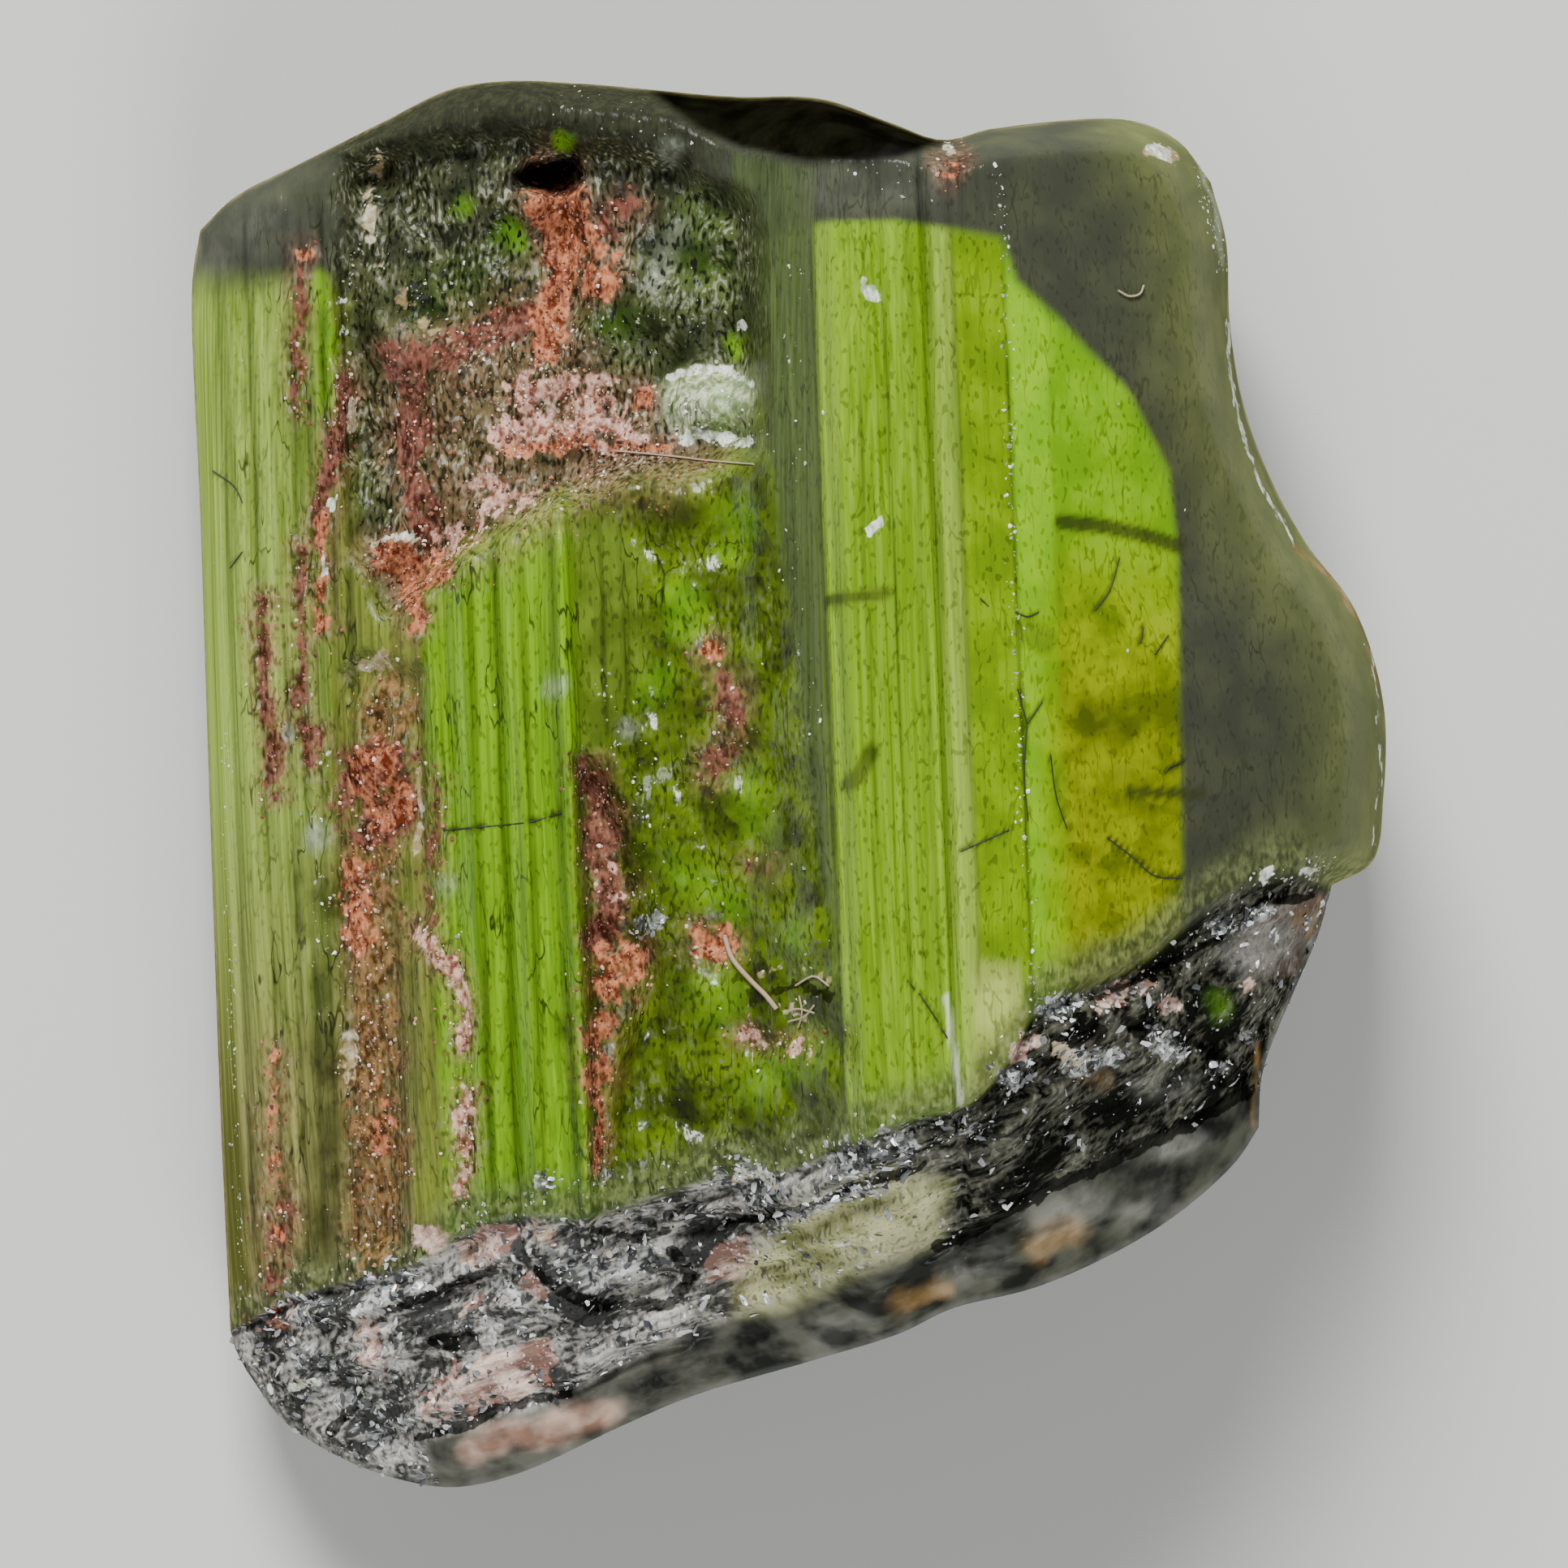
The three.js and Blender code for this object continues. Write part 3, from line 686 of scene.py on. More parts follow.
# Placed on the photograph in pixels, turned into millimetres by a scratch program, then moved and
# added to by hand.
STROKES = {
    Kind.RUST: strokes(
        (0.27, 1, -2.54, 6.5, -2.52, 6.2, -2.44, 5.8), (0.18, 1, -2.5, 5.6, -2.6, 5.3, -2.64, 4.8),
        (0.2, 0.8, -2.2, 5.95, -2.05, 5.6), (0.1, 0.7, -3.05, 3.72, -2.5, 3.72, -2.05, 3.8),
        (0.05, 1, -1.95, 3.74, -1.6, 3.7, -1.3, 3.71), (0.18, 1, -4.41, 2.55, -4.04, 2.29, -3.82, 2.4),
        (0.14, 1, -4.18, 2.2, -4.04, 1.84), (0.12, 1, -1.61, 4.24), (0.09, 0.9, -5.31, 5.84),
        (0.08, 0.85, -5.14, 2.97, -5.12, 2.18, -5.14, 1.75),
        (0.07, 0.55, -5.66, -3, -5.68, -4.08, -5.62, -5.16), (0.16, 1, -5.6, -5.88),
        (0.27, 1, -4.55, 0.1, -4.4, -0.2), (0.2, 0.7, -4.76, -1.02, -4.72, -1.65),
        (0.16, 0.5, -4.45, -3.36, -4.49, -4.08), (0.24, 1, -1.75, -1.96, -1.93, -2.23),
        (0.14, 0.9, -1.99, -2.37, -2.06, -2.91, -2.08, -3.45), (0.05, 0.8, -2.06, -3.45, -2.06, -4.26),
        (0.15, 1, -0.85, 1.45), (0.22, 1, -0.84, -1.74), (0.06, 1, -2.68, -6.43, -2.62, -6.62),
        (0.1, 0.9, 1.81, 6.78),
    ),
    Kind.MAROON: strokes(
        (0.14, 0.7, -1.79, 6.4, -2.01, 6.11),
        (0.24, 0.85, -4.2, 4.66, -3.7, 4.8, -3.2, 4.98, -2.95, 5.1),
        (0.15, 1, -4.12, 4.47, -4.06, 3.49, -3.97, 2.75), (0.06, 0.6, -5.38, 5.65, -5.42, 4.16),
        (0.08, 0.85, -4.86, 4.46, -5.01, 3.56, -5.16, 3.04, -5.16, 2.59),
        (0.44, 1, -4.52, 0.06, -4.42, -0.16), (0.06, 1, -5.8, 2.01, -5.76, 0.87),
        (0.09, 1, -5.75, 0.87, -5.64, 0.43, -5.69, -0.09), (0.04, 0.9, -5.38, 2.62, -5.36, 1.09),
        (0.14, 0.7, -5.62, -4.5, -5.64, -5.67), (0.07, 0.9, -5.36, 1.09, -5.29, 0.26),
        (0.1, 0.9, -5.18, 0.52), (0.07, 0.6, -3.89, 0.06, -3.89, -0.75, -3.91, -1.55),
        (0.18, 1, -2.13, 0.06, -2.04, -0.57, -1.97, -1.11, -2.04, -1.65),
        (0.18, 0.75, -0.71, 1.12, -0.59, 0.68, -0.76, 0.16), (0.16, 0.5, -0.32, -0.86),
    ),
    Kind.SALMON: strokes(
        (0.26, 0.85, -2.85, 4.35, -2.15, 4.15), (0.2, 1, -3.02, 3.9, -2.4, 3.88, -1.75, 3.8),
        (0.18, 0.7, -3.36, 3.3, -2.96, 3.19), (0.14, 0.6, -3.86, 2.49, -3.5, 2.85, -3.14, 3.3),
        (0.06, 1, -4.04, -1.66, -3.71, -2, -3.55, -2.45, -3.57, -2.91),
        (0.07, 0.9, -3.56, -3.4, -3.56, -3.99), (0.05, 0.8, -3.55, -4.26, -3.63, -4.57),
        (0.09, 0.35, -1.91, -0.84, -1.86, -1.29), (0.08, 0.9, -0.45, -2.76, -0.19, -2.85, 0.15, -2.89),
    ),
    Kind.CLAY: strokes(
        (0.36, 0.7, -4.4, 0.89, -4.42, 0.69),
        (0.25, 0.85, -4.56, -0.66, -4.63, -1.29, -4.53, -2.1, -4.58, -3.27, -4.49, -4.26, -4.56, -5.07),
    ),
    Kind.FELDSPAR: strokes(
        (0.2, 1, -3.41, -5.16, -3.16, -5.01), (0.14, 0.9, -3.98, -4.94, -3.86, -5.05),
        (0.11, 0.7, -2.78, -4.88, -2.58, -4.98), (0.1, 0.9, -2.83, -5.47, -2.73, -5.62),
        (0.1, 0.8, -3.5, -5.77, -3.36, -5.7), (0.15, 0.7, -4.63, -6.1, -4.54, -6.34),
        (0.2, 1, -3.3, -6.5, -2.96, -6.38, -2.74, -6.3),
        (0.17, 0.9, -3.4, -6.76, -2.96, -6.68, -2.75, -6.55), (0.24, 0.6, -3.9, -6.8, -3.7, -6.6),
        (0.15, 0.9, -0.8, -5.26, -0.55, -5.16), (0.08, 0.6, -0.93, -5.43, -0.49, -5.34),
        (0.09, 1, 4.15, -2.46, 4.27, -2.42), (0.08, 0.8, 5.1, -2.17), (0.12, 0.6, 2.49, -3, 2.62, -2.82),
        (0.13, 0.6, 3.43, -2.41, 3.88, -2.23),
    ),
    Kind.SILVER: strokes(
        (0.11, 0.6, -1.57, -1.57, -1.39, -1.47), (0.18, 0.6, -4.49, -5.52, -4.04, -5.44),
        (0.16, 0.6, -5.48, -6.24, -5.12, -6.42), (0.18, 0.5, -5.57, -5.88, -5.17, -5.8),
        (0.13, 0.6, -2.65, -4.41), (0.08, 0.7, -1.97, -4.29), (0.15, 0.6, -4.72, -7.19, -4.22, -7.05),
        (0.2, 0.55, -2.42, -5.34, -1.61, -5.2), (0.16, 0.5, -3.14, -5.52, -2.96, -5.79),
        (0.14, 0.5, -4.94, -6.78, -4.49, -6.87), (0.09, 0.7, -0.08, -4.8, 0.28, -4.62, 1, -4.39),
        (0.22, 0.5, -0.62, -4.26, -0.26, -4.44), (0.23, 0.55, 0.64, -4.08, 1.27, -3.99),
        (0.12, 0.5, 1.9, -3.72, 2.17, -3.81), (0.14, 0.7, 2.39, -3.27, 2.62, -3.16),
        (0.14, 0.8, 4.06, -2.73, 4.28, -2.91), (0.16, 0.8, 3.16, -3.07, 3.56, -3),
        (0.08, 0.8, 4.71, -3.11, 4.85, -3.1), (0.12, 0.7, 2.84, -2.46, 3.16, -2.37),
        (0.08, 0.6, 5.05, -2.73), (0.09, 0.8, 4.69, -1.56, 5.32, -1.42),
    ),
    Kind.BLACK: strokes(
        (0.09, 1, -2.98, 6.7, -2.65, 6.76, -2.35, 6.88),
        (0.06, 0.9, -0.1, -2.29, 0.15, -2.17, 0.49, -2.27),
        (0.05, 0.9, -4.41, -5.8, -3.82, -5.56, -3.19, -5.35),
        (0.07, 1, -2.73, -5.38, -2.39, -5.62, -1.89, -5.75, -1.26, -5.72, -1.05, -5.42, -1.26, -5.14),
        (0.05, 0.9, -2.11, -4.91, -1.72, -5.01, -1.35, -4.94), (0.13, 1, -3.86, -6.16, -3.5, -6.09),
        (0.07, 0.9, -5.08, -7.17, -4.76, -6.84), (0.06, 0.8, -4.04, -7.24, -3.15, -6.9, -2.42, -6.74),
        (0.04, 0.9, -0.62, -4.8, -0.08, -4.72, 0.82, -4.39, 1.54, -4.15),
        (0.03, 1, 3.79, -2.2, 4.16, -1.99, 4.56, -1.81, 5.21, -1.3, 5.8, -1.21),
        (0.04, 0.8, 3.28, -2.42, 3.77, -2.2),
        (0.08, 0.85, 1.67, -5.07, 2.35, -4.71, 3.05, -4.37, 4.2, -3.87, 5.12, -3.36),
        (0.14, 0.8, 2.98, -2.91, 3.43, -2.73), (0.16, 0.6, 3.79, -2.55, 4.6, -2.91),
        (0.18, 0.7, 4.78, -3, 5, -3.36), (0.13, 0.3, -3.32, -4.8, -2.96, -4.71),
    ),
    Kind.CREAM: strokes(
        (0.05, 0.9, -4.56, 2.69, -4.31, 2.73, -4.04, 2.69),
        (0.08, 0.45, -4.53, 6.96, -4.6, 6.45, -4.56, 6.03),
        (0.09, 0.35, -4.4, 5.73, -4.04, 5.1, -3.68, 4.83), (0.04, 0.7, -4.81, 4.24, -4.79, 3.86),
        (0.13, 0.8, -4.63, 1.34, -4.45, 1.39), (0.04, 0.8, -4.08, 0.16, -4.06, -0.3, -4.08, -0.73),
        (0.11, 0.5, -4.87, -2.73, -4.8, -3.18), (0.05, 0.7, -0.02, -2.46, 0.23, -2.55),
        (0.04, 0.5, -0.26, -2.06, 0.14, -2.02, 0.46, -2.14), (0.06, 1, 1.81, 6.97),
        (0.08, 0.9, 3.95, 6.99, 4.24, 6.9), (0.11, 0.7, -2.69, -4.91), (0.09, 0.6, -1.95, -5.2),
        (0.04, 0.9, -5.46, -6.7, -5.17, -6.62), (0.04, 1, -0.57, -4.31, -0.31, -4.27, -0.17, -4.39),
        (0.08, 0.8, 3.14, -3.05, 2.98, -2.91),
    ),
    Kind.WHITE: strokes(
        (0.07, 0.85, 0.9, 5.52, 0.93, 5.38), (0.04, 0.8, 0.89, 2.81, 1.03, 2.91), (0.05, 1, -4.9, 5.32),
        (0.05, 1, -4.9, 4.99), (0.05, 1, -5.01, 3.16), (0.04, 0.9, -5.1, 2.46, -5.09, 2.33),
        (0.04, 0.9, -5.06, 0.35), (0.05, 0.9, -0.51, 5.05), (0.06, 1, 3.97, 7.01, 4.18, 6.91),
        (0.06, 1, 1.79, 6.99), (0.04, 0.8, -4.54, 2.71, -4.09, 2.73),
        (0.05, 0.9, -1.27, 4.47, -0.98, 4.6, -0.62, 4.54, -0.4, 4.38),
        (0.06, 0.9, -1.12, 3.8, -0.62, 3.86, -0.4, 3.8),
        # The two thin lines below run along the right rim: partly white mineral, partly a painted highlight.
        # The two dots after them, by the break's right corner, are painted glints.
        (0.012, 0.8, 4.83, 5.1, 4.93, 4.29, 5.12, 3.46, 5.61, 2.64),
        (0.012, 0.5, 6.45, 1.5, 6.54, 0.78, 6.56, 0.06, 6.47, -0.75),
        (0.05, 0.8, 5.21, -1.03, 5.32, -0.96), (0.05, 0.9, 5.66, -0.96, 5.79, -0.91),
        (0.05, 0.8, -5.48, -6.71, -5.16, -6.61), (0.05, 0.9, -0.58, -4.28, -0.35, -4.23, -0.19, -4.36),
    ),
    # Bright green spots: painted glow, where light shines through the stone.
    Kind.GLOW: strokes(
        (0.25, 1, -1.1, 1.8, -1.21, 2.04), (0.18, 0.8, -1.5, 0.99, -1.39, 1.19),
        (0.23, 0.8, -1.03, -1.06, -0.62, -1.29), (0.16, 0.6, 0.1, -1.65),
        (0.27, 0.6, -0.67, -2.37, -0.8, -2.19), (0.25, 0.55, -0.26, -3.27, 0.19, -3),
        (0.2, 0.6, -0.62, 2.58, -0.49, 2.94), (0.27, 0.45, -0.44, 0.06, -0.35, -0.39),
        (0.18, 0.5, -1.25, -0.84), (0.09, 0.9, -2.47, 7.11), (0.1, 0.7, -3.55, 6.36),
        (0.14, 0.8, -3.05, 6.11, -2.96, 6), (0.3, 0.12, -0.95, 6.3, -0.85, 5.6),
        (0.16, 0.3, -0.62, 4.0, -0.7, 4.3), (0.25, 0.15, -1.84, 5.02),
        (0.09, 0.8, -0.58, 4.74, -0.62, 4.88), (0.1, 0.9, -5.14, 5.6, -5.1, 4.74, -5.08, 4.2),
        (0.11, 0.3, 4.73, -2.35, 4.78, -2.5),
    ),
    Kind.OLIVE: strokes(
        (0.22, 0.8, -1.25, 2.76, -1.12, 2.94), (0.16, 0.8, -3.15, 6.35, -3.1, 5.6),
        (0.08, 0.7, -5.4, -0.5, -5.34, -1.7),
        (0.18, 0.85, -5.05, -1.1, -5.14, -2.5, -5.05, -3.6, -5.1, -5.2),
        (0.06, 1, -2.88, 5.2, -2.86, 4.95), (0.25, 0.5, -0.62, 1.86, -0.8, 2.4),
        (0.2, 0.9, -0.19, -0.52, 0.01, -0.48), (0.23, 0.6, -1.16, -1.38, -1.21, -1.92),
        (0.27, 0.7, -1.52, -3.45, -0.89, -3.63), (0.18, 0.8, 0.37, -2.46, 0.64, -2.91),
        (0.22, 0.6, -1.34, -2.64), (0.22, 0.6, -0.26, -3.81, 0.28, -3.63),
        (0.14, 0.9, -5.08, -1.81, -5.03, -2.19), (0.11, 0.9, -2.44, -2.65),
        (0.23, 0.6, -0.13, 2.4, -0.17, 1.68),
    ),
    Kind.PALE: strokes(
        (0.1, 0.3, -1.21, 6.1, -1.5, 5.51), (0.14, 0.7, -2.51, 1.06), (0.12, 0.8, -1.76, 0.61),
        (0.11, 0.5, -3.78, -1.14), (0.13, 0.8, -5.19, -0.57), (0.06, 0.9, -5.5, 0.56),
        (0.13, 0.5, -1.28, 6.94), (0.08, 0.4, -3.4, 7.02), (0.1, 0.3, -4.13, 4.47, -4.31, 4.61),
        # The first stroke below, a thin line along the right rim, is partly a painted highlight.
        (0.03, 0.6, 4.6, 6.77, 4.74, 6.36, 4.82, 5.73), (0.27, 0.6, -1.07, 4.2, -0.62, 4.25),
    ),
    Kind.CRACK: strokes(
        (0.02, 0.9, -3.78, -0.5, -3.32, -0.46, -2.84, -0.41, -2.47, -0.31),
        (0.03, 0.9, 1.9, -0.73, 2.44, -0.49),
        (0.02, 0.9, 3.51, -0.58, 3.79, -0.79, 4.04, -1, 4.34, -1.02), (0.03, 0.9, 4.04, 2.37),
        (0.03, 0.9, 3.91, 1.73, 3.88, 1.55), (0.02, 0.9, 4.15, 0.13, 4.21, 0.2, 4.33, 0.24),
        (0.02, 0.7, 3.65, 2.49, 3.54, 2.13, 3.38, 1.91), (0.018, 0.8, 4.19, 1.64, 4.04, 1.43),
        (0.04, 0.9, 2.63, 0.67), (0.02, 0.8, 2.63, 0.67, 2.53, 1.05), (0.02, 0.8, 2.63, 0.67, 2.8, 0.91),
        (0.02, 0.7, 2.63, 0.64, 2.6, 0.15, 2.64, -0.39),
        (0.018, 0.6, 2.89, 0.33, 2.95, -0.12, 3.07, -0.48),
        (0.03, 0.7, 1.45, -2.28, 1.63, -2.55, 1.76, -2.77), (0.018, 0.6, 1.29, -2.1, 1.4, -2.23),
        (0.018, 0.5, 2.12, 2.04, 2.21, 1.95), (0.016, 0.6, 2.5, 1.89, 2.64, 1.84, 2.76, 1.89),
        (0.016, 0.5, -6.36, 3.48, -6.11, 3.3, -6.02, 3.12), (0.016, 0.5, -6.16, 2.4, -6.02, 2.58),
    ),
    # Dark blurred smears: painted shadow of cracks inside the stone.
    Kind.SMEAR: strokes(
        (0.1, 1, 3.02, 2.88, 3.52, 2.83, 3.97, 2.73, 4.29, 2.62),
        (0.06, 0.85, 3.75, -0.07, 4.06, -0.09, 4.54, -0.1), (0.18, 0.6, 2.63, 1.7, 2.8, 1.59),
        (0.23, 0.45, 3.38, 0.78, 3.61, 0.6), (0.2, 0.4, 3.7, 0.06, 3.88, -0.21),
        (0.08, 0.9, 0.49, 2.01, 0.82, 2.06, 1.09, 2.1), (0.1, 0.9, 0.67, -0.01, 0.82, 0.15, 0.93, 0.37),
    ),
    # A pale line beside a groove: a painted highlight.
    Kind.HIGHLIGHT_STREAK: strokes(
        (0.03, 1, 1.75, -2.33, 1.83, -2.91, 1.9, -3.49),
    ),
    Kind.SMUDGE: strokes(
        (0.23, 0.8, 2.89, -4.75, 3.25, -4.57), (0.18, 0.6, 3.79, -4.75, 4.15, -4.62),
        (0.13, 0.9, 4.15, -4.03, 4.51, -3.91), (0.22, 0.5, 1.9, -5.34, 2.26, -5.2),
        (0.16, 0.5, 0.37, -6.06, 0.82, -5.92), (0.23, 0.9, 5.05, -1.83, 5.68, -1.56),
        (0.14, 0.4, 3.88, -3.36, 4.42, -3.27), (0.35, 0.22, -6.4, 5.9, -5.7, 6.2),
        (0.3, 0.2, 0.4, 6.5, 1.5, 6.5),
    ),
    Kind.TAN: strokes(
        (0.18, 0.8, 2.8, -5.07, 3.07, -4.93), (0.13, 0.8, 1.27, -5.7, 1.72, -5.52),
        (0.14, 0.4, 3.25, -3.09, 3.52, -3.27), (0.16, 0.6, 5.68, -1.45),
        # A thin line along the right rim: partly tan mineral, partly a painted highlight.
        (0.03, 0.9, 5.61, 2.64, 6.05, 2.25, 6.42, 1.64, 6.54, 1.14),
        (0.03, 0.9, 5.18, -2.86, 5.19, -3.36, 5.17, -3.76), (0.04, 0.7, 5.88, -1.29, 5.8, -1.65),
    ),
    Kind.BLUSH: strokes(
        (0.16, 1, -3.42, -7.34, -3.0, -7.18, -2.5, -7.08, -2.0, -6.95),
    ),
    Kind.FLECK: strokes(
        (0.06, 1, 2.31, 6.77, 2.37, 6, 2.42, 4.65, 2.47, 2.76, 2.55, 0.6, 2.64, -1.2, 2.69, -2.41),
        (0.09, 0.7, -4.53, 6.99, -4.63, 6.36, -4.76, 5.73, -4.92, 5.1, -4.9, 4.47, -4.76, 3.84),
        (0.36, 0.35, -4.22, 5.64, -3.32, 4.83, -2.42, 4.02),
        (0.14, 0.5, -3.41, 2.85, -2.42, 3.3, -1.52, 3.66),
        (0.22, 0.12, -2.51, 7.49, -1.61, 7.35, -1.16, 6.9), (0.14, 0.4, 0.73, 6.77, 1.45, 6.5),
        (0.18, 0.3, -5.19, -0.3, -5.1, -1.3, -5.0, -2.6), (0.13, 0.5, -3.68, -1.65, -3.55, -4.62),
        (0.23, 0.3, -1.88, 1.05, -1.61, 0.15, -1.52, -1.2),
        (0.2, 0.35, -3.32, -4.71, -1.88, -4.35, -0.62, -4.17, 0.73, -3.9, 1.99, -3.72),
        (0.11, 1, 5.14, -1.06, 5.9, -0.88), (0.41, 0.5, -5.3, -5.7, -4.4, -6.6),
        (0.23, 0.5, 2.44, -2.91, 3.43, -2.46, 4.78, -1.74), (0.38, 0.8, -0.98, 4.2, -0.71, 4.25),
        (0.09, 1, -1.79, 3.8, -0.4, 3.8), (0.05, 0.5, -6.22, 0.6, -6.17, -2.1, -6.02, -5.88),
        (0.27, 0.15, -4.67, -1.2, -4.54, -3, -4.76, -4.62),
        (0.13, 0.12, 0.14, 5.55, 0.01, 4.2, 0.05, 2.4, 0.28, 0.6), (0.11, 0.6, 0.05, -2.46, 0.37, -2.32),
        (0.07, 0.6, 4.55, 6.77, 4.78, 5.73), (0.27, 0.4, -2.42, 4.83, -1.07, 5.1),
    ),
}


@dataclass(frozen=True)
class Zones:
    """Where the faces, hollows and clouds of the stone lie, as soft shares over the plan."""

    relief: Relief = Relief()
    # Inside this outline the stone shows lit green; outside it the rims are painted darker, as shade where
    # no light comes through the stone.
    lit_edge: Pairs = (
        (-6.88, 5.55), (-4.85, 5.55), (-2.96, 6.0), (-0.62, 5.82), (0.2, 6.15), (1.2, 6.17), (1.8, 6.08),
        (2.34, 5.98), (2.5, 5.5), (2.93, 5.12), (3.75, 4.29), (4.19, 3.47), (4.29, 2.59), (4.34, -1.31),
        (4.6, -3.0), (-6.92, -8.4),
    )
    stripe_edge: Pairs = (
        (-0.6, 6.95), (0.31, 6.75), (0.37, 2.94), (0.5, -1.29), (0.36, -1.1), (0.1, 1.4), (-0.1, 3.04),
        (-0.4, 5.0), (-0.62, 6.0),
    )
    # The chip at the top edge is painted near black: painted shade on its steep broken face.
    shaded_chip_edge: Pairs = (
        (-1.6, 7.74), (-1.21, 7.4), (-0.95, 7.2), (-0.51, 6.99), (0.24, 6.82), (0.82, 6.8), (1.27, 6.86),
        (1.55, 6.98), (1.83, 7.06), (1.9, 7.4), (1.2, 7.8), (0.0, 7.95), (-1.4, 7.95),
    )
    # A patch of the broken end where green stone is painted pale: painted light shining through it.
    green_end_edge: Pairs = (
        (-0.58, -5.34), (0.28, -4.62), (1.18, -4.26), (1.76, -4.39), (1.63, -4.98), (0.82, -5.3),
        (0.0, -5.75), (-0.5, -5.8),
    )
    glass_edge: Pairs = (
        (-4.04, -7.27), (-2.51, -6.78), (-1.25, -6.1), (-0.17, -5.7), (0.82, -5.34), (1.67, -5.07),
        (3.05, -4.37), (4.2, -3.87), (5.14, -3.32), (5.45, -4.08), (4.78, -4.98), (2.98, -5.88),
        (0.28, -6.78), (-2.42, -7.96), (-3.86, -8.04),
    )
    corner_edge: Pairs = ((4.9, -1.9), (5.0, -1.5), (5.75, -1.2), (6.1, -1.2), (5.9, -2.1), (5.3, -2.1))
    pale_tip_edge: Pairs = ((2.05, -1.9), (2.55, -1.95), (2.7, -3.0), (2.3, -3.4), (1.9, -3.6))
    pale_lump: Knob = Knob(-0.85, 4.25, 0.62, 0.5, 1.0)
    dust_edge: Pairs = (
        (-4.4, 4.83), (-3.3, 5.28), (-2.96, 5.7), (-2.4, 5.1), (-1.88, 4.47), (-1.1, 3.84), (-0.6, 3.6),
        (-1.3, 3.1), (-2.06, 2.95), (-2.5, 2.65), (-2.96, 2.35), (-3.4, 2.2), (-3.95, 2.1), (-4.22, 2.94),
        (-4.5, 3.84),
    )
    strips: tuple[tuple[str, float, float, float], ...] = (
        ("pale_face", -6.7, -5.0, 0.05), ("dull_face", -5.0, -3.95, 0.1), ("band", -3.95, -2.24, 0.05),
        ("high", 0.53, 1.76, 0.03), ("pale_strip", 1.76, 2.05, 0.03), ("bright_strip", 2.05, 2.6, 0.03),
        ("edge_strip", 2.62, 3.06, 0.04),
    )
    blur_at: tuple[float, ...] = (-6.6, -4.5, 0.2, 0.5, 3.0, 4.3)
    lit_blur: tuple[float, ...] = (0.3, 0.25, 0.1, 0.05, 0.1, 0.06)
    halo: float = 0.14
    wander: float = 0.07
    # Where a stroke's share starts to fall and where it ends, in half widths.
    fine_fade: tuple[float, float] = (0.55, 1.25)
    grain_fade: tuple[float, float] = (0.4, 1.4)
    dusty_fade: tuple[float, float] = (0.3, 1.7)
    halo_fade: tuple[float, float] = (0.0, 1.5)
    cloud_fade: tuple[float, float] = (0.1, 1.6)

    @staticmethod
    def strip(s: Array, start: float, stop: float, blur: float = 0.05) -> Array:
        """Gives a band of faces between two stations across the prism."""
        return smoothstep(s, start - blur, start + blur) * (1 - smoothstep(s, stop - blur, stop + blur))

    def strokes(self, x: Array, y: Array) -> dict[str, Array]:
        """Gathers the strokes of each kind.

        Args:
            x: Places across.
            y: Places along.

        Returns:
            The strongest share at each place, by kind.
        """
        stray = np.clip(1 + 0.55 * lumps(x, y, 0.3, 101, 3), 0.35, 2)
        wander_x = x + self.wander * lumps(x, y, 0.35, 141, 3)
        wander_y = y + self.wander * lumps(x, y, 0.35, 142, 3)
        patchy = np.clip(0.85 + 0.5 * lumps(x, y, 0.2, 161, 2), 0, 1)
        shares = {kind.value: np.zeros_like(x) for kind in Kind}
        dusty = np.zeros_like(x)
        for kind, strokes in STROKES.items():
            for stroke in strokes:
                if kind in FINE_KINDS:
                    share = stroke.at(x, y, np.ones_like(x), self.fine_fade)
                elif kind in GRAIN_KINDS:
                    share = stroke.at(wander_x, wander_y, stray, self.grain_fade)
                elif kind in DUSTY_KINDS:
                    share = patchy * stroke.at(wander_x, wander_y, stray, self.dusty_fade)
                    halo = replace(stroke, width=stroke.width + self.halo)
                    dusty = np.maximum(dusty, halo.at(wander_x, wander_y, stray, self.halo_fade))
                else:
                    share = patchy * stroke.at(wander_x, wander_y, stray, self.cloud_fade)
                shares[kind.value] = np.maximum(shares[kind.value], share)
        return shares | {"dusty": np.clip(1.3 * dusty, 0, 1) * patchy}

    def shares(self, x: Array, y: Array, distance: Array, end: Array) -> dict[str, Array]:
        """Works out every zone.

        Args:
            x: Places across.
            y: Places along.
            distance: How far each place is from the silhouette.
            end: 1 on the broken end and 0 elsewhere.

        Returns:
            A share from 0 to 1 for each zone's name and place.
        """
        relief = self.relief
        s = relief.plan.across(x, y)
        break_x, break_y = zip(*relief.plan.break_line)
        above = y - np.interp(x, break_x, break_y)
        prism = 1 - end
        flank = self.strip(s, 2.58, 4.6, 0.06)
        frayed = (x + 0.1 * lumps(x, y, 0.5, 151, 3), y + 0.16 * lumps(x, y, 0.5, 152, 3))
        hollow = patch(*frayed, relief.hollow_edge)
        bumps = patch(*frayed, relief.bumps_edge)
        side = flank * smoothstep(s, 3.0, 3.1)
        low = 1 - smoothstep(y + 0.4 * lumps(x, y, 0.8, 122, 2), 1.2, 3.4)
        honey = 1 - smoothstep(y + 0.5 * lumps(x, y, 1.1, 121, 3), 0.4, 3.2)
        near_top = smoothstep(y + 0.15 * lumps(x, y, 0.6, 154, 2), 6.6, 6.95)
        lit_blur = np.interp(x, self.blur_at, self.lit_blur)
        cuts = {True: np.zeros_like(x), False: np.zeros_like(x)}
        for groove in GROOVES:
            cuts[groove.depth > 0] = np.maximum(cuts[groove.depth > 0], groove.at(s, y))
        rim = 1 - smoothstep(distance, 0.1, 0.6)
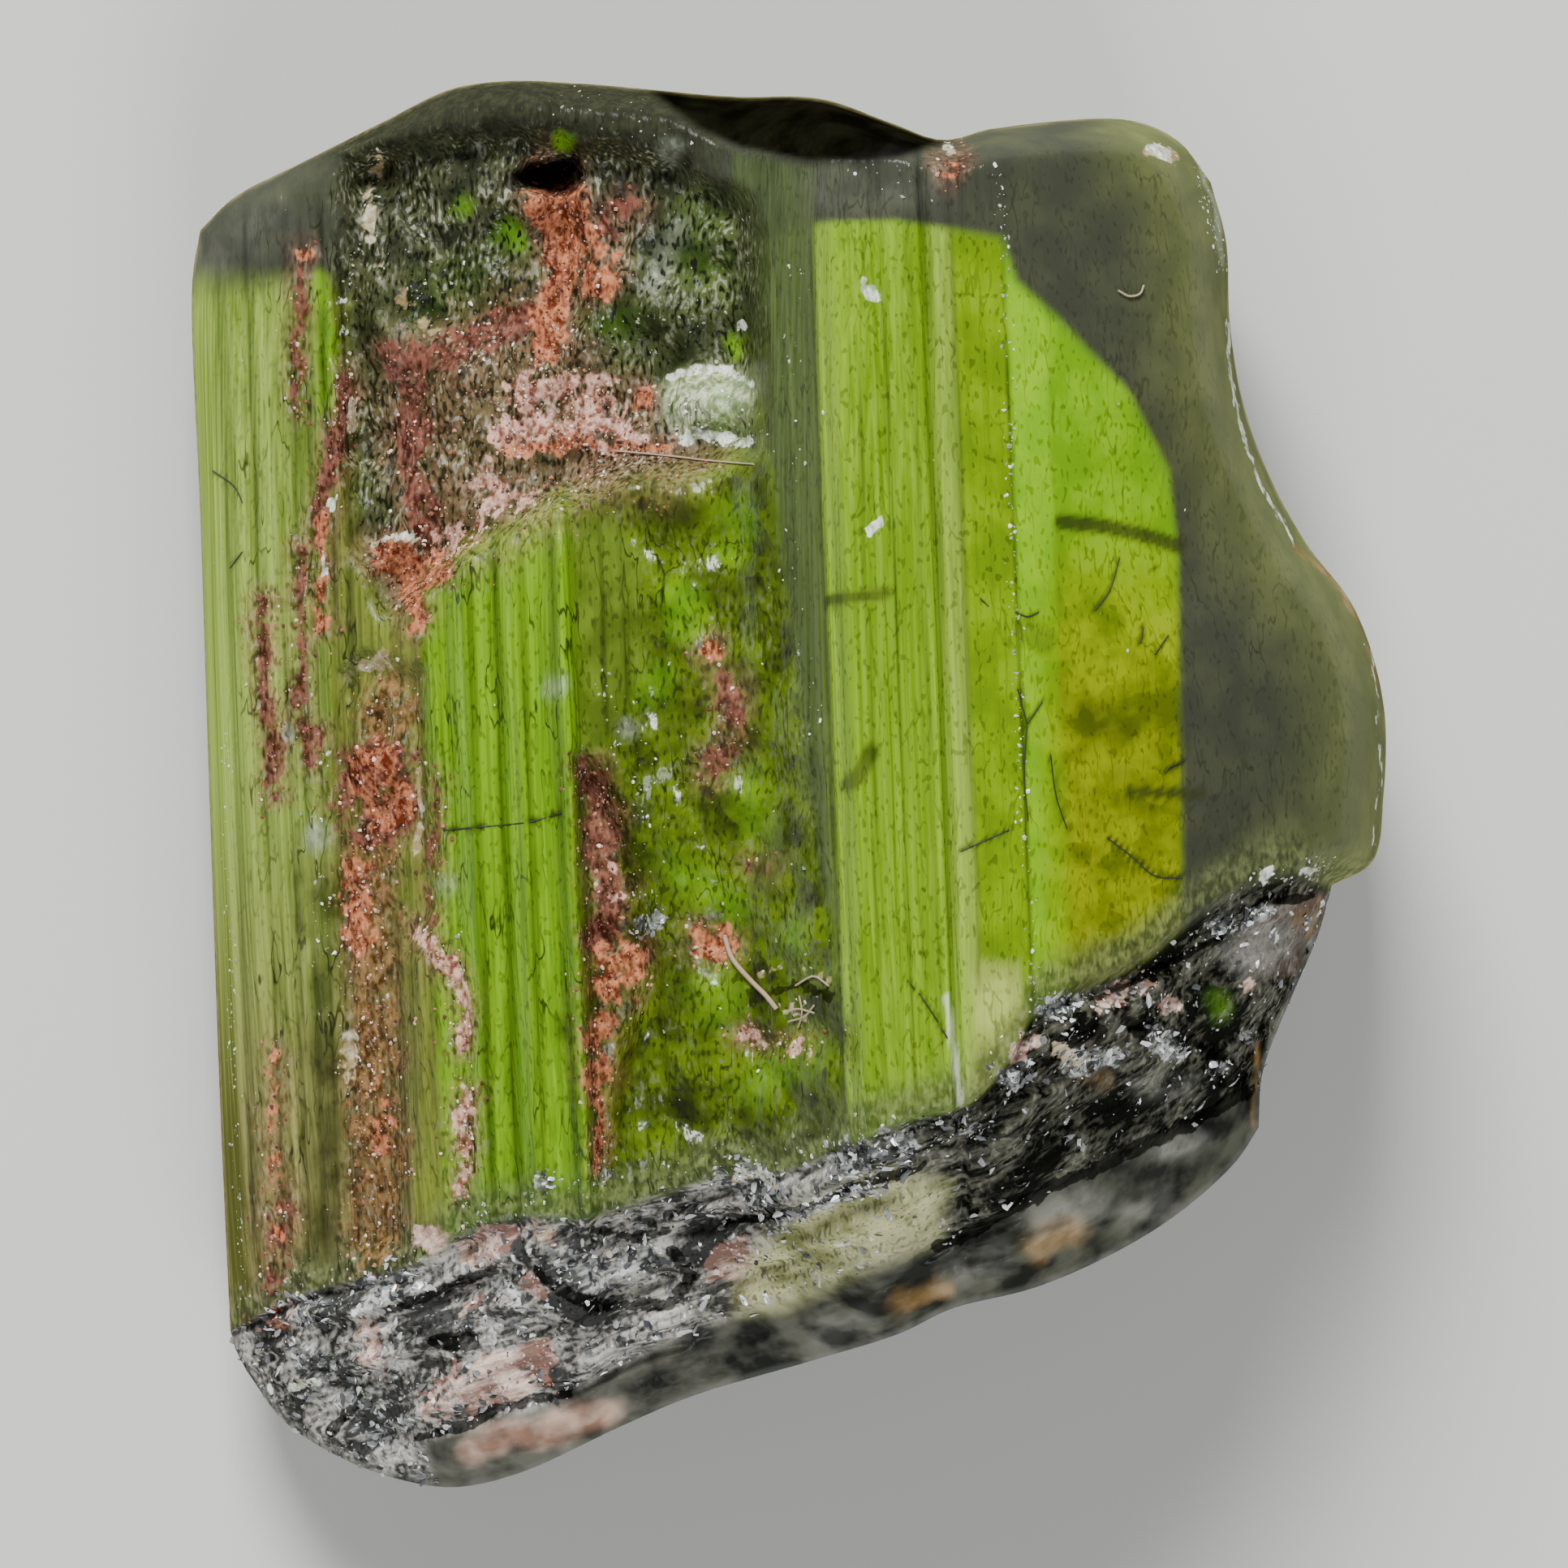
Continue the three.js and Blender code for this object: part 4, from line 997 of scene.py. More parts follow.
        end_pale = end * (1 - smoothstep(x + 0.6 * lumps(x, y, 1.2, 131, 2), -2.5, 2.5))
        glass = patch(x, y, self.glass_edge, 0.1) * end
        lump = np.minimum(1, 2.5 * self.pale_lump.at(x, y))
        strokes = self.strokes(x, y)
        dust = 0.85 * patch(*frayed, self.dust_edge, 0.3) * (0.8 + 0.3 * lumps(x, y, 0.4, 153, 3))
        strokes["dusty"] = np.clip(np.maximum(strokes["dusty"], dust), 0, 1)
        gritty = (0.3 * end + 0.4 * end_pale) * (1 - glass)
        dull = [hollow * (1 - 0.8 * lump), 0.8 * strokes["dusty"], 0.3 * bumps, gritty]
        strips = {name: self.strip(s, *stations) for name, *stations in self.strips}
        return strokes | strips | {
            "bumps": bumps,
            "stripe": patch(x, y, self.stripe_edge, 0.05),
            "flank": side,
            "flank_low": side * low,
            "amber": flank * honey * smoothstep(s, 2.5, 3.3),
            "low_face": self.strip(s, -6.7, -4.3, 0.1) * (1 - smoothstep(y, -4.5, 0.8)),
            # Painted shade: the rims outside the lit outline.
            "smoky_shade": 1 - patch(x, y, self.lit_edge, lit_blur),
            # Painted glow: a lighter olive just inside the right rim, where light comes through it.
            "olive_rim_glow": (1 - smoothstep(distance, 0.35, 1.4)) * smoothstep(x, 3.0, 4.0) * prism,
            "rim": rim,
            "hollow": hollow,
            "pale_tip": patch(x, y, self.pale_tip_edge, 0.05) * self.strip(s, 1.95, 2.6),
            "dark_top": near_top * self.strip(x, -5.1, -0.8, 0.3),
            "haze": prism * (1 - smoothstep(above + 0.12 * lumps(x, y, 0.4, 155, 3), 0.12, 0.6)),
            # Painted shade on the chip.
            "chip": patch(x, y, self.shaded_chip_edge, 0.07),
            "pale_lump": lump,
            "end": end,
            "end_pale": end_pale,
            "glass": glass,
            "corner": patch(x, y, self.corner_edge, 0.06) * end,
            # Painted light: green stone lit through on the broken end.
            "green_end_glow": patch(x, y, self.green_end_edge, 0.2) * end,
            # Thin pale lines along the silhouette of the prism and of the end: painted rim highlights.
            "rim_highlight_line": (1 - smoothstep(distance, 0.01, 0.04)) * prism,
            "end_rim_glint": (1 - smoothstep(distance, 0.02, 0.09)) * end,
            "groove": cuts[True] * prism,
            "rib": cuts[False] * prism * (1 - hollow),
            "veined": (1 - 0.5 * smoothstep(x, -2.0, 1.0)) * prism * (1 - rim),
            "speckled": np.max(dull, axis=0),
            "ribbed": self.strip(s, -6.3, 2.5, 0.15) * prism * (1 - 0.75 * hollow) * (1 - 0.85 * bumps),
        }


class Weave(Enum):
    """Which pattern mixes a tone's two colours, as a channel of the weave layer."""

    STRIAE = 0
    CLOUD = 1
    GRIT = 2
    HACKLE = 3
    FACET = 4


# Where a tone's list of numbers holds its two colours, the weights of its patterns and its surface.
LOW, HIGH, WEAVES = slice(0, 3), slice(3, 6), slice(6, 10)
FACETED, CLEAR, SURFACE = 10, 11, slice(11, 13)


@dataclass(frozen=True)
class Tone:
    """How one zone looks: two sRGB colours, the pattern that mixes them, its clearness and roughness."""

    zone: str
    low: str
    high: str
    weave: Weave
    clear: float
    rough: float
    strength: float = 1.0

    def numbers(self) -> Array:
        """Lists the tone as numbers: both colours, a weight for each pattern, clearness and roughness."""
        weights = [float(weave is self.weave) for weave in Weave]
        return np.array([*linear(self.low)[:3], *linear(self.high)[:3], *weights, self.clear, self.rough])


@dataclass(frozen=True)
class Palette:
    """The tones of the stone, laid over each other in this order, and its shading along grooves and ribs."""

    plain: Tone = Tone("", "#6d8a20", "#8fb033", Weave.CLOUD, 0.6, 0.2)
    tones: tuple[Tone, ...] = (
        Tone("pale_face", "#748e2c", "#b0cc5c", Weave.STRIAE, 0.4, 0.28),
        Tone("dull_face", "#5c6624", "#8e9c3c", Weave.STRIAE, 0.35, 0.32),
        Tone("band", "#6ea008", "#9cd41c", Weave.STRIAE, 0.5, 0.22),
        Tone("bumps", "#30360a", "#7c9c04", Weave.FACET, 0.55, 0.2),
        Tone("high", "#8aba10", "#b4e434", Weave.STRIAE, 0.55, 0.2),
        Tone("pale_strip", "#a0c83c", "#c6ec58", Weave.STRIAE, 0.55, 0.22),
        Tone("bright_strip", "#8cba00", "#aadc08", Weave.CLOUD, 0.6, 0.18),
        Tone("edge_strip", "#9ce400", "#b8f808", Weave.CLOUD, 0.5, 0.16),
        Tone("flank", "#90d400", "#b0f400", Weave.CLOUD, 0.55, 0.14),
        Tone("flank_low", "#88a800", "#b0d800", Weave.FACET, 0.5, 0.14),
        Tone("amber", "#6a7a00", "#b0c004", Weave.FACET, 0.5, 0.14),
        Tone("low_face", "#504c24", "#948a58", Weave.STRIAE, 0.25, 0.34, 0.85),
        # Painted shade over a smoky grey-olive: the unlit rims.
        Tone("smoky_shade", "#44473a", "#4e523e", Weave.CLOUD, 0.35, 0.18),
        Tone("dark_top", "#24261a", "#363828", Weave.GRIT, 0.2, 0.3, 0.85),
        # Painted glow of light through the right rim, over olive stone.
        Tone("olive_rim_glow", "#666e42", "#747c4a", Weave.CLOUD, 0.4, 0.18, 0.9),
        Tone("stripe", "#404f28", "#5c6c3e", Weave.STRIAE, 0.35, 0.26, 0.9),
        # The hollow's dull etched floor, with dark mottling that is partly painted shade in the recess.
        Tone("hollow", "#161c10", "#54583a", Weave.FACET, 0.25, 0.4, 0.92),
        Tone("dusty", "#4c2e20", "#a87c64", Weave.GRIT, 0.1, 0.6, 0.8),
        Tone("pale_tip", "#b4c858", "#d8ec74", Weave.CLOUD, 0.45, 0.25),
        Tone("haze", "#40482a", "#848c5c", Weave.GRIT, 0.3, 0.3, 0.82),
        # Painted shade: the chip is coloured near black and dull.
        Tone("chip", "#060602", "#12120a", Weave.CLOUD, 0.0, 0.4),
        Tone("pale_lump", "#667844", "#ccd49c", Weave.GRIT, 0.1, 0.5),
        # The broken end's near black is painted shade, where no light comes through the stone, over its own
        # grey hackles.
        Tone("end", "#0c0d08", "#66665a", Weave.HACKLE, 0.05, 0.34),
        Tone("end_pale", "#40403e", "#d4d0c8", Weave.HACKLE, 0.05, 0.34),
        Tone("glass", "#242622", "#56584c", Weave.CLOUD, 0.1, 0.14, 0.9),
        Tone("corner", "#5c5048", "#948c84", Weave.HACKLE, 0.1, 0.3, 0.9),
        # Painted light shining through green stone on the broken end.
        Tone("green_end_glow", "#94985c", "#ececb0", Weave.CLOUD, 0.3, 0.24, 0.9),
        Tone("olive", "#22280a", "#3c4208", Weave.CLOUD, 0.4, 0.25, 0.8),
        # Painted glow: bright green where light shines through the stone.
        Tone("glow", "#7cc000", "#a8ec08", Weave.CLOUD, 0.6, 0.2, 0.9),
        Tone("pale", "#a4b090", "#e4ece0", Weave.GRIT, 0.2, 0.4, 0.75),
        # Painted shadow of cracks inside the stone.
        Tone("crack_shadow", "#2c3018", "#40441e", Weave.CLOUD, 0.3, 0.25, 0.9),
        Tone("smudge", "#6c6c68", "#a4a49c", Weave.CLOUD, 0.1, 0.2, 0.8),
        Tone("tan", "#8a6c40", "#b89c74", Weave.CLOUD, 0.1, 0.25, 0.85),
        Tone("blush", "#b08874", "#ecccb8", Weave.CLOUD, 0.1, 0.25, 0.9),
        Tone("crack", "#0c1004", "#1c2208", Weave.CLOUD, 0.3, 0.3, 0.9),
        # Painted highlight beside a groove.
        Tone("highlight_streak", "#d0dca8", "#f4fce0", Weave.CLOUD, 0.2, 0.3, 0.9),
        # Painted highlights along the rims.
        Tone("rim_highlight_line", "#605c30", "#b8b078", Weave.GRIT, 0.1, 0.4, 0.55),
        Tone("end_rim_glint", "#50524c", "#7a7a72", Weave.CLOUD, 0.1, 0.3, 0.8),
    )
    groove_shade: float = 0.75
    rib_light: float = 0.5
    rim_dullness: float = 0.9
    glass_calm: float = 0.9

    def layers(self, zones: dict[str, Array]) -> dict[str, Array]:
        """Lays the tones over each other at every point.

        Args:
            zones: The share of each zone at the points.

        Returns:
            The layers that the material reads, as four numbers a point.
        """
        total = np.tile(self.plain.numbers(), (zones["end"].size, 1))
        for tone in self.tones:
            total += (zones[tone.zone].ravel() * tone.strength)[:, None] * (tone.numbers() - total)
        total[:, CLEAR] *= 1 - self.rim_dullness * zones["rim"].ravel()
        for colour in (LOW, HIGH):
            total[:, colour] *= 1 - self.groove_shade * zones["groove"].ravel()[:, None]
            total[:, colour] *= 1 + self.rib_light * zones["rib"].ravel()[:, None]
        one = np.ones(len(total))
        hackly = zones["end"] * (1 - self.glass_calm * zones["glass"])
        stack = {
            "body": [*total[:, LOW].T, one],
            "bloom": [*total[:, HIGH].T, one],
            "weave": total[:, WEAVES].T,
            "surface": [*total[:, SURFACE].T, zones["ribbed"].ravel(), hackly.ravel()],
            "stains": [zones[name].ravel() for name in ("rust", "maroon", "salmon", "clay")],
            "grains": [zones[name].ravel() for name in ("feldspar", "silver", "black", "cream")],
            "whites": [*(zones[n].ravel() for n in ("white", "speckled", "veined")), total[:, FACETED]],
        }
        return {name: np.column_stack(columns).astype(np.float32) for name, columns in stack.items()}


@dataclass(frozen=True)
class Crust:
    """An opaque crust or grain that lies on the stone with a ragged edge, in two sRGB colours."""

    layer: str
    channel: int
    low: str
    high: str
    rough: float
    ragged: float
    cover: float = 0.9


@dataclass(frozen=True)
class Tourmaline:
    """Elbaite tourmaline, worn by water: a clear yellow-green glassy stone. Its smoky grey rims are partly
    painted shade, where no light comes through the stone.

    To the eye its long faces are striated, its hollows dull and crusted with rust, its broken end hackly.
    Sizes are in millimetres. A range tells where a pattern starts and ends, and a cover how much it hides.
    """

    ior: float = 1.63
    body_colour: str = "#cdf03c"
    body_density: float = 60.0
    gloss: float = 0.0
    # Real striae, specks and grit go down to a few thousandths of a millimetre, and a pixel of a
    # 1024-pixel render is 0.017 mm. They are drawn as coarse as they need to show.
    stria_mm: float = 0.045
    stria_run_mm: float = 6.0
    speck_mm: float = 0.05
    grit_mm: float = 0.06
    cloud_mm: float = 0.55
    clump_mm: float = 0.17
    hackle_mm: float = 0.08
    hackle_run_mm: float = 0.34
    hackle_turn: float = -math.radians(22)
    facet_mm: float = 0.3
    vein_mm: float = 0.2
    vein_run_mm: float = 0.8
    stripe_range: tuple[float, float] = (0.8, 1.2)
    cloud_range: tuple[float, float] = (0.4, 0.62)
    grit_range: tuple[float, float] = (0.85, 1.2)
    hackle_range: tuple[float, float] = (0.92, 1.25)
    facet_range: tuple[float, float] = (1.2, 2.1)
    facet_fray: float = 0.9
    vein_range: tuple[float, float] = (0.022, 0.006)
    vein_cover: float = 0.85
    vein_colour: str = "#161a0a"
    inclusion_range: tuple[float, float] = (0.65, 0.71)
    inclusion_cover: float = 0.7
    pit_range: tuple[float, float] = (0.59, 0.66)
    pit_cover: float = 0.75
    pit_colour: str = "#14180a"
    dust_range: tuple[float, float] = (0.39, 0.31)
    dust_cover: float = 0.8
    dust_colour: str = "#b4b4a0"
    crust_range: tuple[float, float] = (-0.12, 0.08)
    crust_foot: tuple[float, float] = (0.02, 0.15)
    stria_height: float = 0.5
    dull_height: tuple[float, float] = (0.6, 0.1)
    bump_mm: float = 0.05
    bump_strength: float = 0.7
    crusts: tuple[Crust, ...] = (
        Crust("stains", 3, "#44300e", "#8c6c44", 0.7, 2.2, 0.8),
        Crust("stains", 1, "#3a1812", "#804c42", 0.75, 1.7, 0.8),
        Crust("stains", 2, "#804c3c", "#e8bcaa", 0.7, 2.6, 0.8),
        Crust("stains", 0, "#602814", "#c8805c", 0.75, 1.6),
        Crust("grains", 1, "#50524e", "#e0e2de", 0.35, 2.2, 0.85),
        Crust("grains", 0, "#8c6c60", "#f8d8c8", 0.5, 2.4, 0.8),
        Crust("grains", 2, "#020202", "#14140f", 0.2, 1.6, 0.85),
        Crust("grains", 3, "#a08e64", "#f0e4cc", 0.6, 2.0, 0.85),
        Crust("whites", 0, "#a0a894", "#fcfff4", 0.5, 2.4, 0.85),
    )

    def channels(self, tree: Tree, layer: str) -> list[Socket]:
        """Reads the four channels of one of the mesh's layers."""
        node = add_node(tree, "ShaderNodeAttribute", attribute_name=layer)
        parts = add_node(tree, "ShaderNodeSeparateColor", (node.outputs["Color"],))
        return [*parts.outputs, node.outputs["Alpha"]]

    def pattern(
        self,
        tree: Tree,
        place: Socket,
        size_mm: tuple[float, float, float],
        turn: float = 0.0,
        detail: float = 2.0,
    ) -> Socket:
        """Lays noise over the stone.

        Args:
            tree: The material's tree.
            place: The object coordinates.
            size_mm: The size of a swell across, along and up, in millimetres.
            turn: How far the pattern's long way is turned from the prism's axis, in radians.
            detail: How many finer sizes are added.

        Returns:
            The noise, from 0 to 1 around 0.5.
        """
        turned = feed(tree, "ShaderNodeMapping", {"Vector": place, "Rotation": (0.0, 0.0, turn)})
        scale = tuple(1 / (size * MM) for size in size_mm)
        scaled = feed(tree, "ShaderNodeMapping", {"Vector": turned, "Scale": scale})
        return feed(tree, "ShaderNodeTexNoise", {"Vector": scaled, "Scale": 1.0, "Detail": detail})

    def facets(self, tree: Tree, place: Socket, cloud: Socket, clumps: Socket) -> Socket:
        """Lays small angular facets, each of its own shade, over clouds.

        Args:
            tree: The material's tree.
            place: The object coordinates.
            cloud: The cloud noise, which shades whole groups of facets.
            clumps: The clump noise, which frays their edges.

        Returns:
            Shades from 0 to 1.
        """
        fray = feed(tree, "ShaderNodeCombineXYZ", (cloud, clumps, cloud))
        pull = {0: fray, "Scale": self.facet_fray * self.facet_mm * MM}
        away = feed(tree, "ShaderNodeVectorMath", pull, operation="SCALE")
        moved = feed(tree, "ShaderNodeVectorMath", (place, away), operation="ADD")
        size = {"Vector": moved, "Scale": 1 / (self.facet_mm * MM)}
        cells = add_node(tree, "ShaderNodeTexVoronoi", size, voronoi_dimensions="2D")
        shade = add_node(tree, "ShaderNodeSeparateColor", (cells.outputs["Color"],)).outputs[0]
        groups = feed(tree, MATH, (cloud, 2.0), operation="MULTIPLY")
        mixed = feed(tree, MATH, (shade, 0.5, groups), operation="MULTIPLY_ADD")
        frayed = feed(tree, MATH, (mixed, clumps), operation="ADD")
        return feed(tree, RANGE, (frayed, *self.facet_range))

    def veins(self, tree: Tree, place: Socket, axis: float, clouds: Socket) -> Socket:
        """Draws fine dark cracks that run roughly along the prism, in some places only.

        Args:
            tree: The material's tree.
            place: The object coordinates.
            axis: The turn of the prism's axis.
            clouds: The clouds, which break the cracks.

        Returns:
            Shares from 0 to the veins' cover.
        """
        swells = self.pattern(tree, place, (self.vein_mm, self.vein_run_mm, self.vein_mm), axis)
        around = feed(tree, MATH, (swells, 0.5), operation="SUBTRACT")
        aside = feed(tree, MATH, (around,), operation="ABSOLUTE")
        line = feed(tree, RANGE, (aside, *self.vein_range, 0.0, self.vein_cover))
        return feed(tree, MATH, (line, clouds), operation="MULTIPLY")

    def specks(self, tree: Tree, place: Socket, colour: Socket, parts: dict[str, Socket]) -> Socket:
        """Strews dark inclusions in the clear stone, and pits and pale dust where it is dull.

        Args:
            tree: The material's tree.
            place: The object coordinates.
            colour: The colour under the specks.
            parts: The clearness, the speckled share and the clouds.

        Returns:
            The colour with specks.
        """
        size = (self.speck_mm, 2 * self.speck_mm, self.speck_mm)
        specks = self.pattern(tree, place, size, detail=0.0)
        black = feed(tree, RANGE, (specks, *self.inclusion_range, 0.0, self.inclusion_cover))
        black = feed(tree, MATH, (black, parts["clear"]), operation="MULTIPLY")
        pits = feed(tree, RANGE, (specks, *self.pit_range, 0.0, self.pit_cover))
        pits = feed(tree, MATH, (pits, parts["speckled"], black), operation="MULTIPLY_ADD")
        colour = feed(tree, MIX, {0: pits, 6: colour, 7: linear(self.pit_colour)}, data_type="RGBA")
        dust = feed(tree, RANGE, (specks, *self.dust_range, 0.0, self.dust_cover))
        dust = feed(tree, MATH, (dust, parts["clouds"]), operation="MULTIPLY")
        dust = feed(tree, MATH, (dust, parts["speckled"]), operation="MULTIPLY")
        return feed(tree, MIX, {0: dust, 6: colour, 7: linear(self.dust_colour)}, data_type="RGBA")

    def crust(
        self,
        tree: Tree,
        look: tuple[Socket, Socket, Socket],
        clumps: Socket,
        grits: Socket,
        hackles: Socket,
    ) -> tuple[Socket, Socket, Socket]:
        """Lays the crusts and grains over the bare stone.

        Args:
            tree: The material's tree.
            look: The bare stone's colour, clearness and roughness.
            clumps: The noise that frays the crusts' edges.
            grits: The pattern of the crusts.
            hackles: The pattern of the grains.

        Returns:
            The colour, clearness and roughness with the crusts.
        """
        colour, clear, rough = look
        covered: Socket | float = 0.0
        for crust in self.crusts:
            layer = self.channels(tree, crust.layer)[crust.channel]
            share = feed(tree, MATH, (clumps, crust.ragged, layer), operation="MULTIPLY_ADD")
            edge = 0.5 + 0.5 * crust.ragged
            start, stop = (edge + aside for aside in self.crust_range)
            share = feed(tree, RANGE, (share, start, stop, 0.0, crust.cover))
            foot = feed(tree, RANGE, (layer, *self.crust_foot))
            share = feed(tree, MATH, (share, foot), operation="MULTIPLY")
            shades = {0: hackles if crust.layer == "grains" else grits}
            shades |= {6: linear(crust.low), 7: linear(crust.high)}
            shade = feed(tree, MIX, shades, data_type="RGBA")
            colour = feed(tree, MIX, {0: share, 6: colour, 7: shade}, data_type="RGBA")
            rougher = feed(tree, MATH, (crust.rough, rough), operation="SUBTRACT")
            rough = feed(tree, MATH, (share, rougher, rough), operation="MULTIPLY_ADD")
            covered = feed(tree, MATH, (covered, share), operation="MAXIMUM")
        bare = feed(tree, MATH, (1.0, covered), operation="SUBTRACT")
        return colour, feed(tree, MATH, (clear, bare), operation="MULTIPLY"), rough

    def build(self, name: str, bare: bool) -> bpy.types.Material:
        """Makes the material.

        Args:
            name: The material's name.
            bare: Whether the stone is plain here, with no facets, specks, veins or crusts.

        Returns:
            The material, which reads its layers from the mesh and sets its patterns in millimetres.
        """
        material = bpy.data.materials.new(name)
        material.use_nodes = True
        tree = material.node_tree
        shader = tree.nodes["Principled BSDF"]
        place = add_node(tree, "ShaderNodeTexCoord").outputs["Object"]
        axis = -math.atan(Plan().lean)

        striae = self.pattern(tree, place, (self.stria_mm, self.stria_run_mm, self.stria_mm), axis)
        broad = self.pattern(tree, place, (5 * self.stria_mm, 2 * self.stria_run_mm, 0.8), axis, 1.0)
        cloud = self.pattern(tree, place, (self.cloud_mm, self.cloud_mm, self.cloud_mm), detail=3.0)
        grit = self.pattern(tree, place, (self.grit_mm, 1.8 * self.grit_mm, self.grit_mm), detail=1.0)
        clumps = self.pattern(tree, place, (self.clump_mm, self.clump_mm, self.clump_mm))
        hackle_size = (self.hackle_run_mm, self.hackle_mm, self.hackle_mm)
        hackle = self.pattern(tree, place, hackle_size, self.hackle_turn, 3.0)

        stripes = feed(tree, MATH, (striae, broad), operation="ADD")
        stripes = feed(tree, RANGE, (stripes, *self.stripe_range))
        clouds = feed(tree, RANGE, (cloud, *self.cloud_range))
        grits = feed(tree, MATH, (grit, clumps), operation="ADD")
        grits = feed(tree, RANGE, (grits, *self.grit_range))
        hackles = feed(tree, MATH, (hackle, cloud), operation="ADD")
        hackles = feed(tree, RANGE, (hackles, *self.hackle_range))
        facets = clouds if bare else self.facets(tree, place, cloud, clumps)
        _, speckled, veined, faceted = self.channels(tree, "whites")
        share: Socket | float = 0.0
        weights = [*self.channels(tree, "weave"), faceted]
        for weight, value in zip(weights, (stripes, clouds, grits, hackles, facets)):
            share = feed(tree, MATH, (weight, value, share), operation="MULTIPLY_ADD")
        body = add_node(tree, "ShaderNodeAttribute", attribute_name="body").outputs["Color"]
        bloom = add_node(tree, "ShaderNodeAttribute", attribute_name="bloom").outputs["Color"]
        colour = feed(tree, MIX, {0: share, 6: body, 7: bloom}, data_type="RGBA")
        clear, rough, ribbed, end = self.channels(tree, "surface")

        if not bare:
            parts = {"clear": clear, "speckled": speckled, "clouds": clouds}
            colour = self.specks(tree, place, colour, parts)
            veins = self.veins(tree, place, axis, clouds)
            veins = feed(tree, MATH, (veins, veined), operation="MULTIPLY")
            colour = feed(tree, MIX, {0: veins, 6: colour, 7: linear(self.vein_colour)}, data_type="RGBA")
            colour, clear, rough = self.crust(tree, (colour, clear, rough), clumps, grits, hackles)

        height = feed(tree, MATH, (ribbed, self.stria_height), operation="MULTIPLY")
        height = feed(tree, MATH, (striae, height), operation="MULTIPLY")
        height = feed(tree, MATH, (hackle, end, height), operation="MULTIPLY_ADD")
        dull = feed(tree, MATH, (speckled, end), operation="MAXIMUM")
        dull = feed(tree, MATH, (dull, *self.dull_height), operation="MULTIPLY_ADD")
        height = feed(tree, MATH, (grit, dull, height), operation="MULTIPLY_ADD")
        relief = {"Height": height, "Distance": self.bump_mm * MM, "Strength": self.bump_strength}
        bump = feed(tree, "ShaderNodeBump", relief)

        look = {"Base Color": colour, "Transmission Weight": clear, "Roughness": rough, "Normal": bump}
        for socket, value in look.items():
            tree.links.new(value, shader.inputs[socket])
        shader.inputs["IOR"].default_value = self.ior
        shader.inputs["Specular IOR Level"].default_value = self.gloss
        tint = {"Color": linear(self.body_colour), "Density": self.body_density}
        volume = feed(tree, "ShaderNodeVolumeAbsorption", tint)
        tree.links.new(volume, tree.nodes["Material Output"].inputs["Volume"])
        return material


@dataclass(frozen=True)
class Mineral:
    """A dull opaque mineral in three sRGB shades, which each grain picks by its own tint."""

    name: str
    shades: tuple[str, str, str]
    rough: float
    metallic: float = 0.0
    stops: tuple[float, float, float] = (0.15, 0.6, 0.95)

    def build(self) -> bpy.types.Material:
        """Makes the material.

        Returns:
            The material, which reads each grain's tint from the mesh.
        """
        material = bpy.data.materials.new(self.name)
        material.use_nodes = True
        tree = material.node_tree
        shader = tree.nodes["Principled BSDF"]
        tint = add_node(tree, "ShaderNodeAttribute", attribute_name="tint").outputs["Fac"]
        ramp = add_node(tree, "ShaderNodeValToRGB", (tint,))
        for place, shade in zip(self.stops, self.shades):
            stop = ramp.color_ramp.elements.new(place)
            stop.color = linear(shade)
        ramp.color_ramp.elements.remove(ramp.color_ramp.elements[-1])
        ramp.color_ramp.elements.remove(ramp.color_ramp.elements[0])
        tree.links.new(ramp.outputs["Color"], shader.inputs["Base Color"])
        shader.inputs["Roughness"].default_value = self.rough
        shader.inputs["Metallic"].default_value = self.metallic
        return material


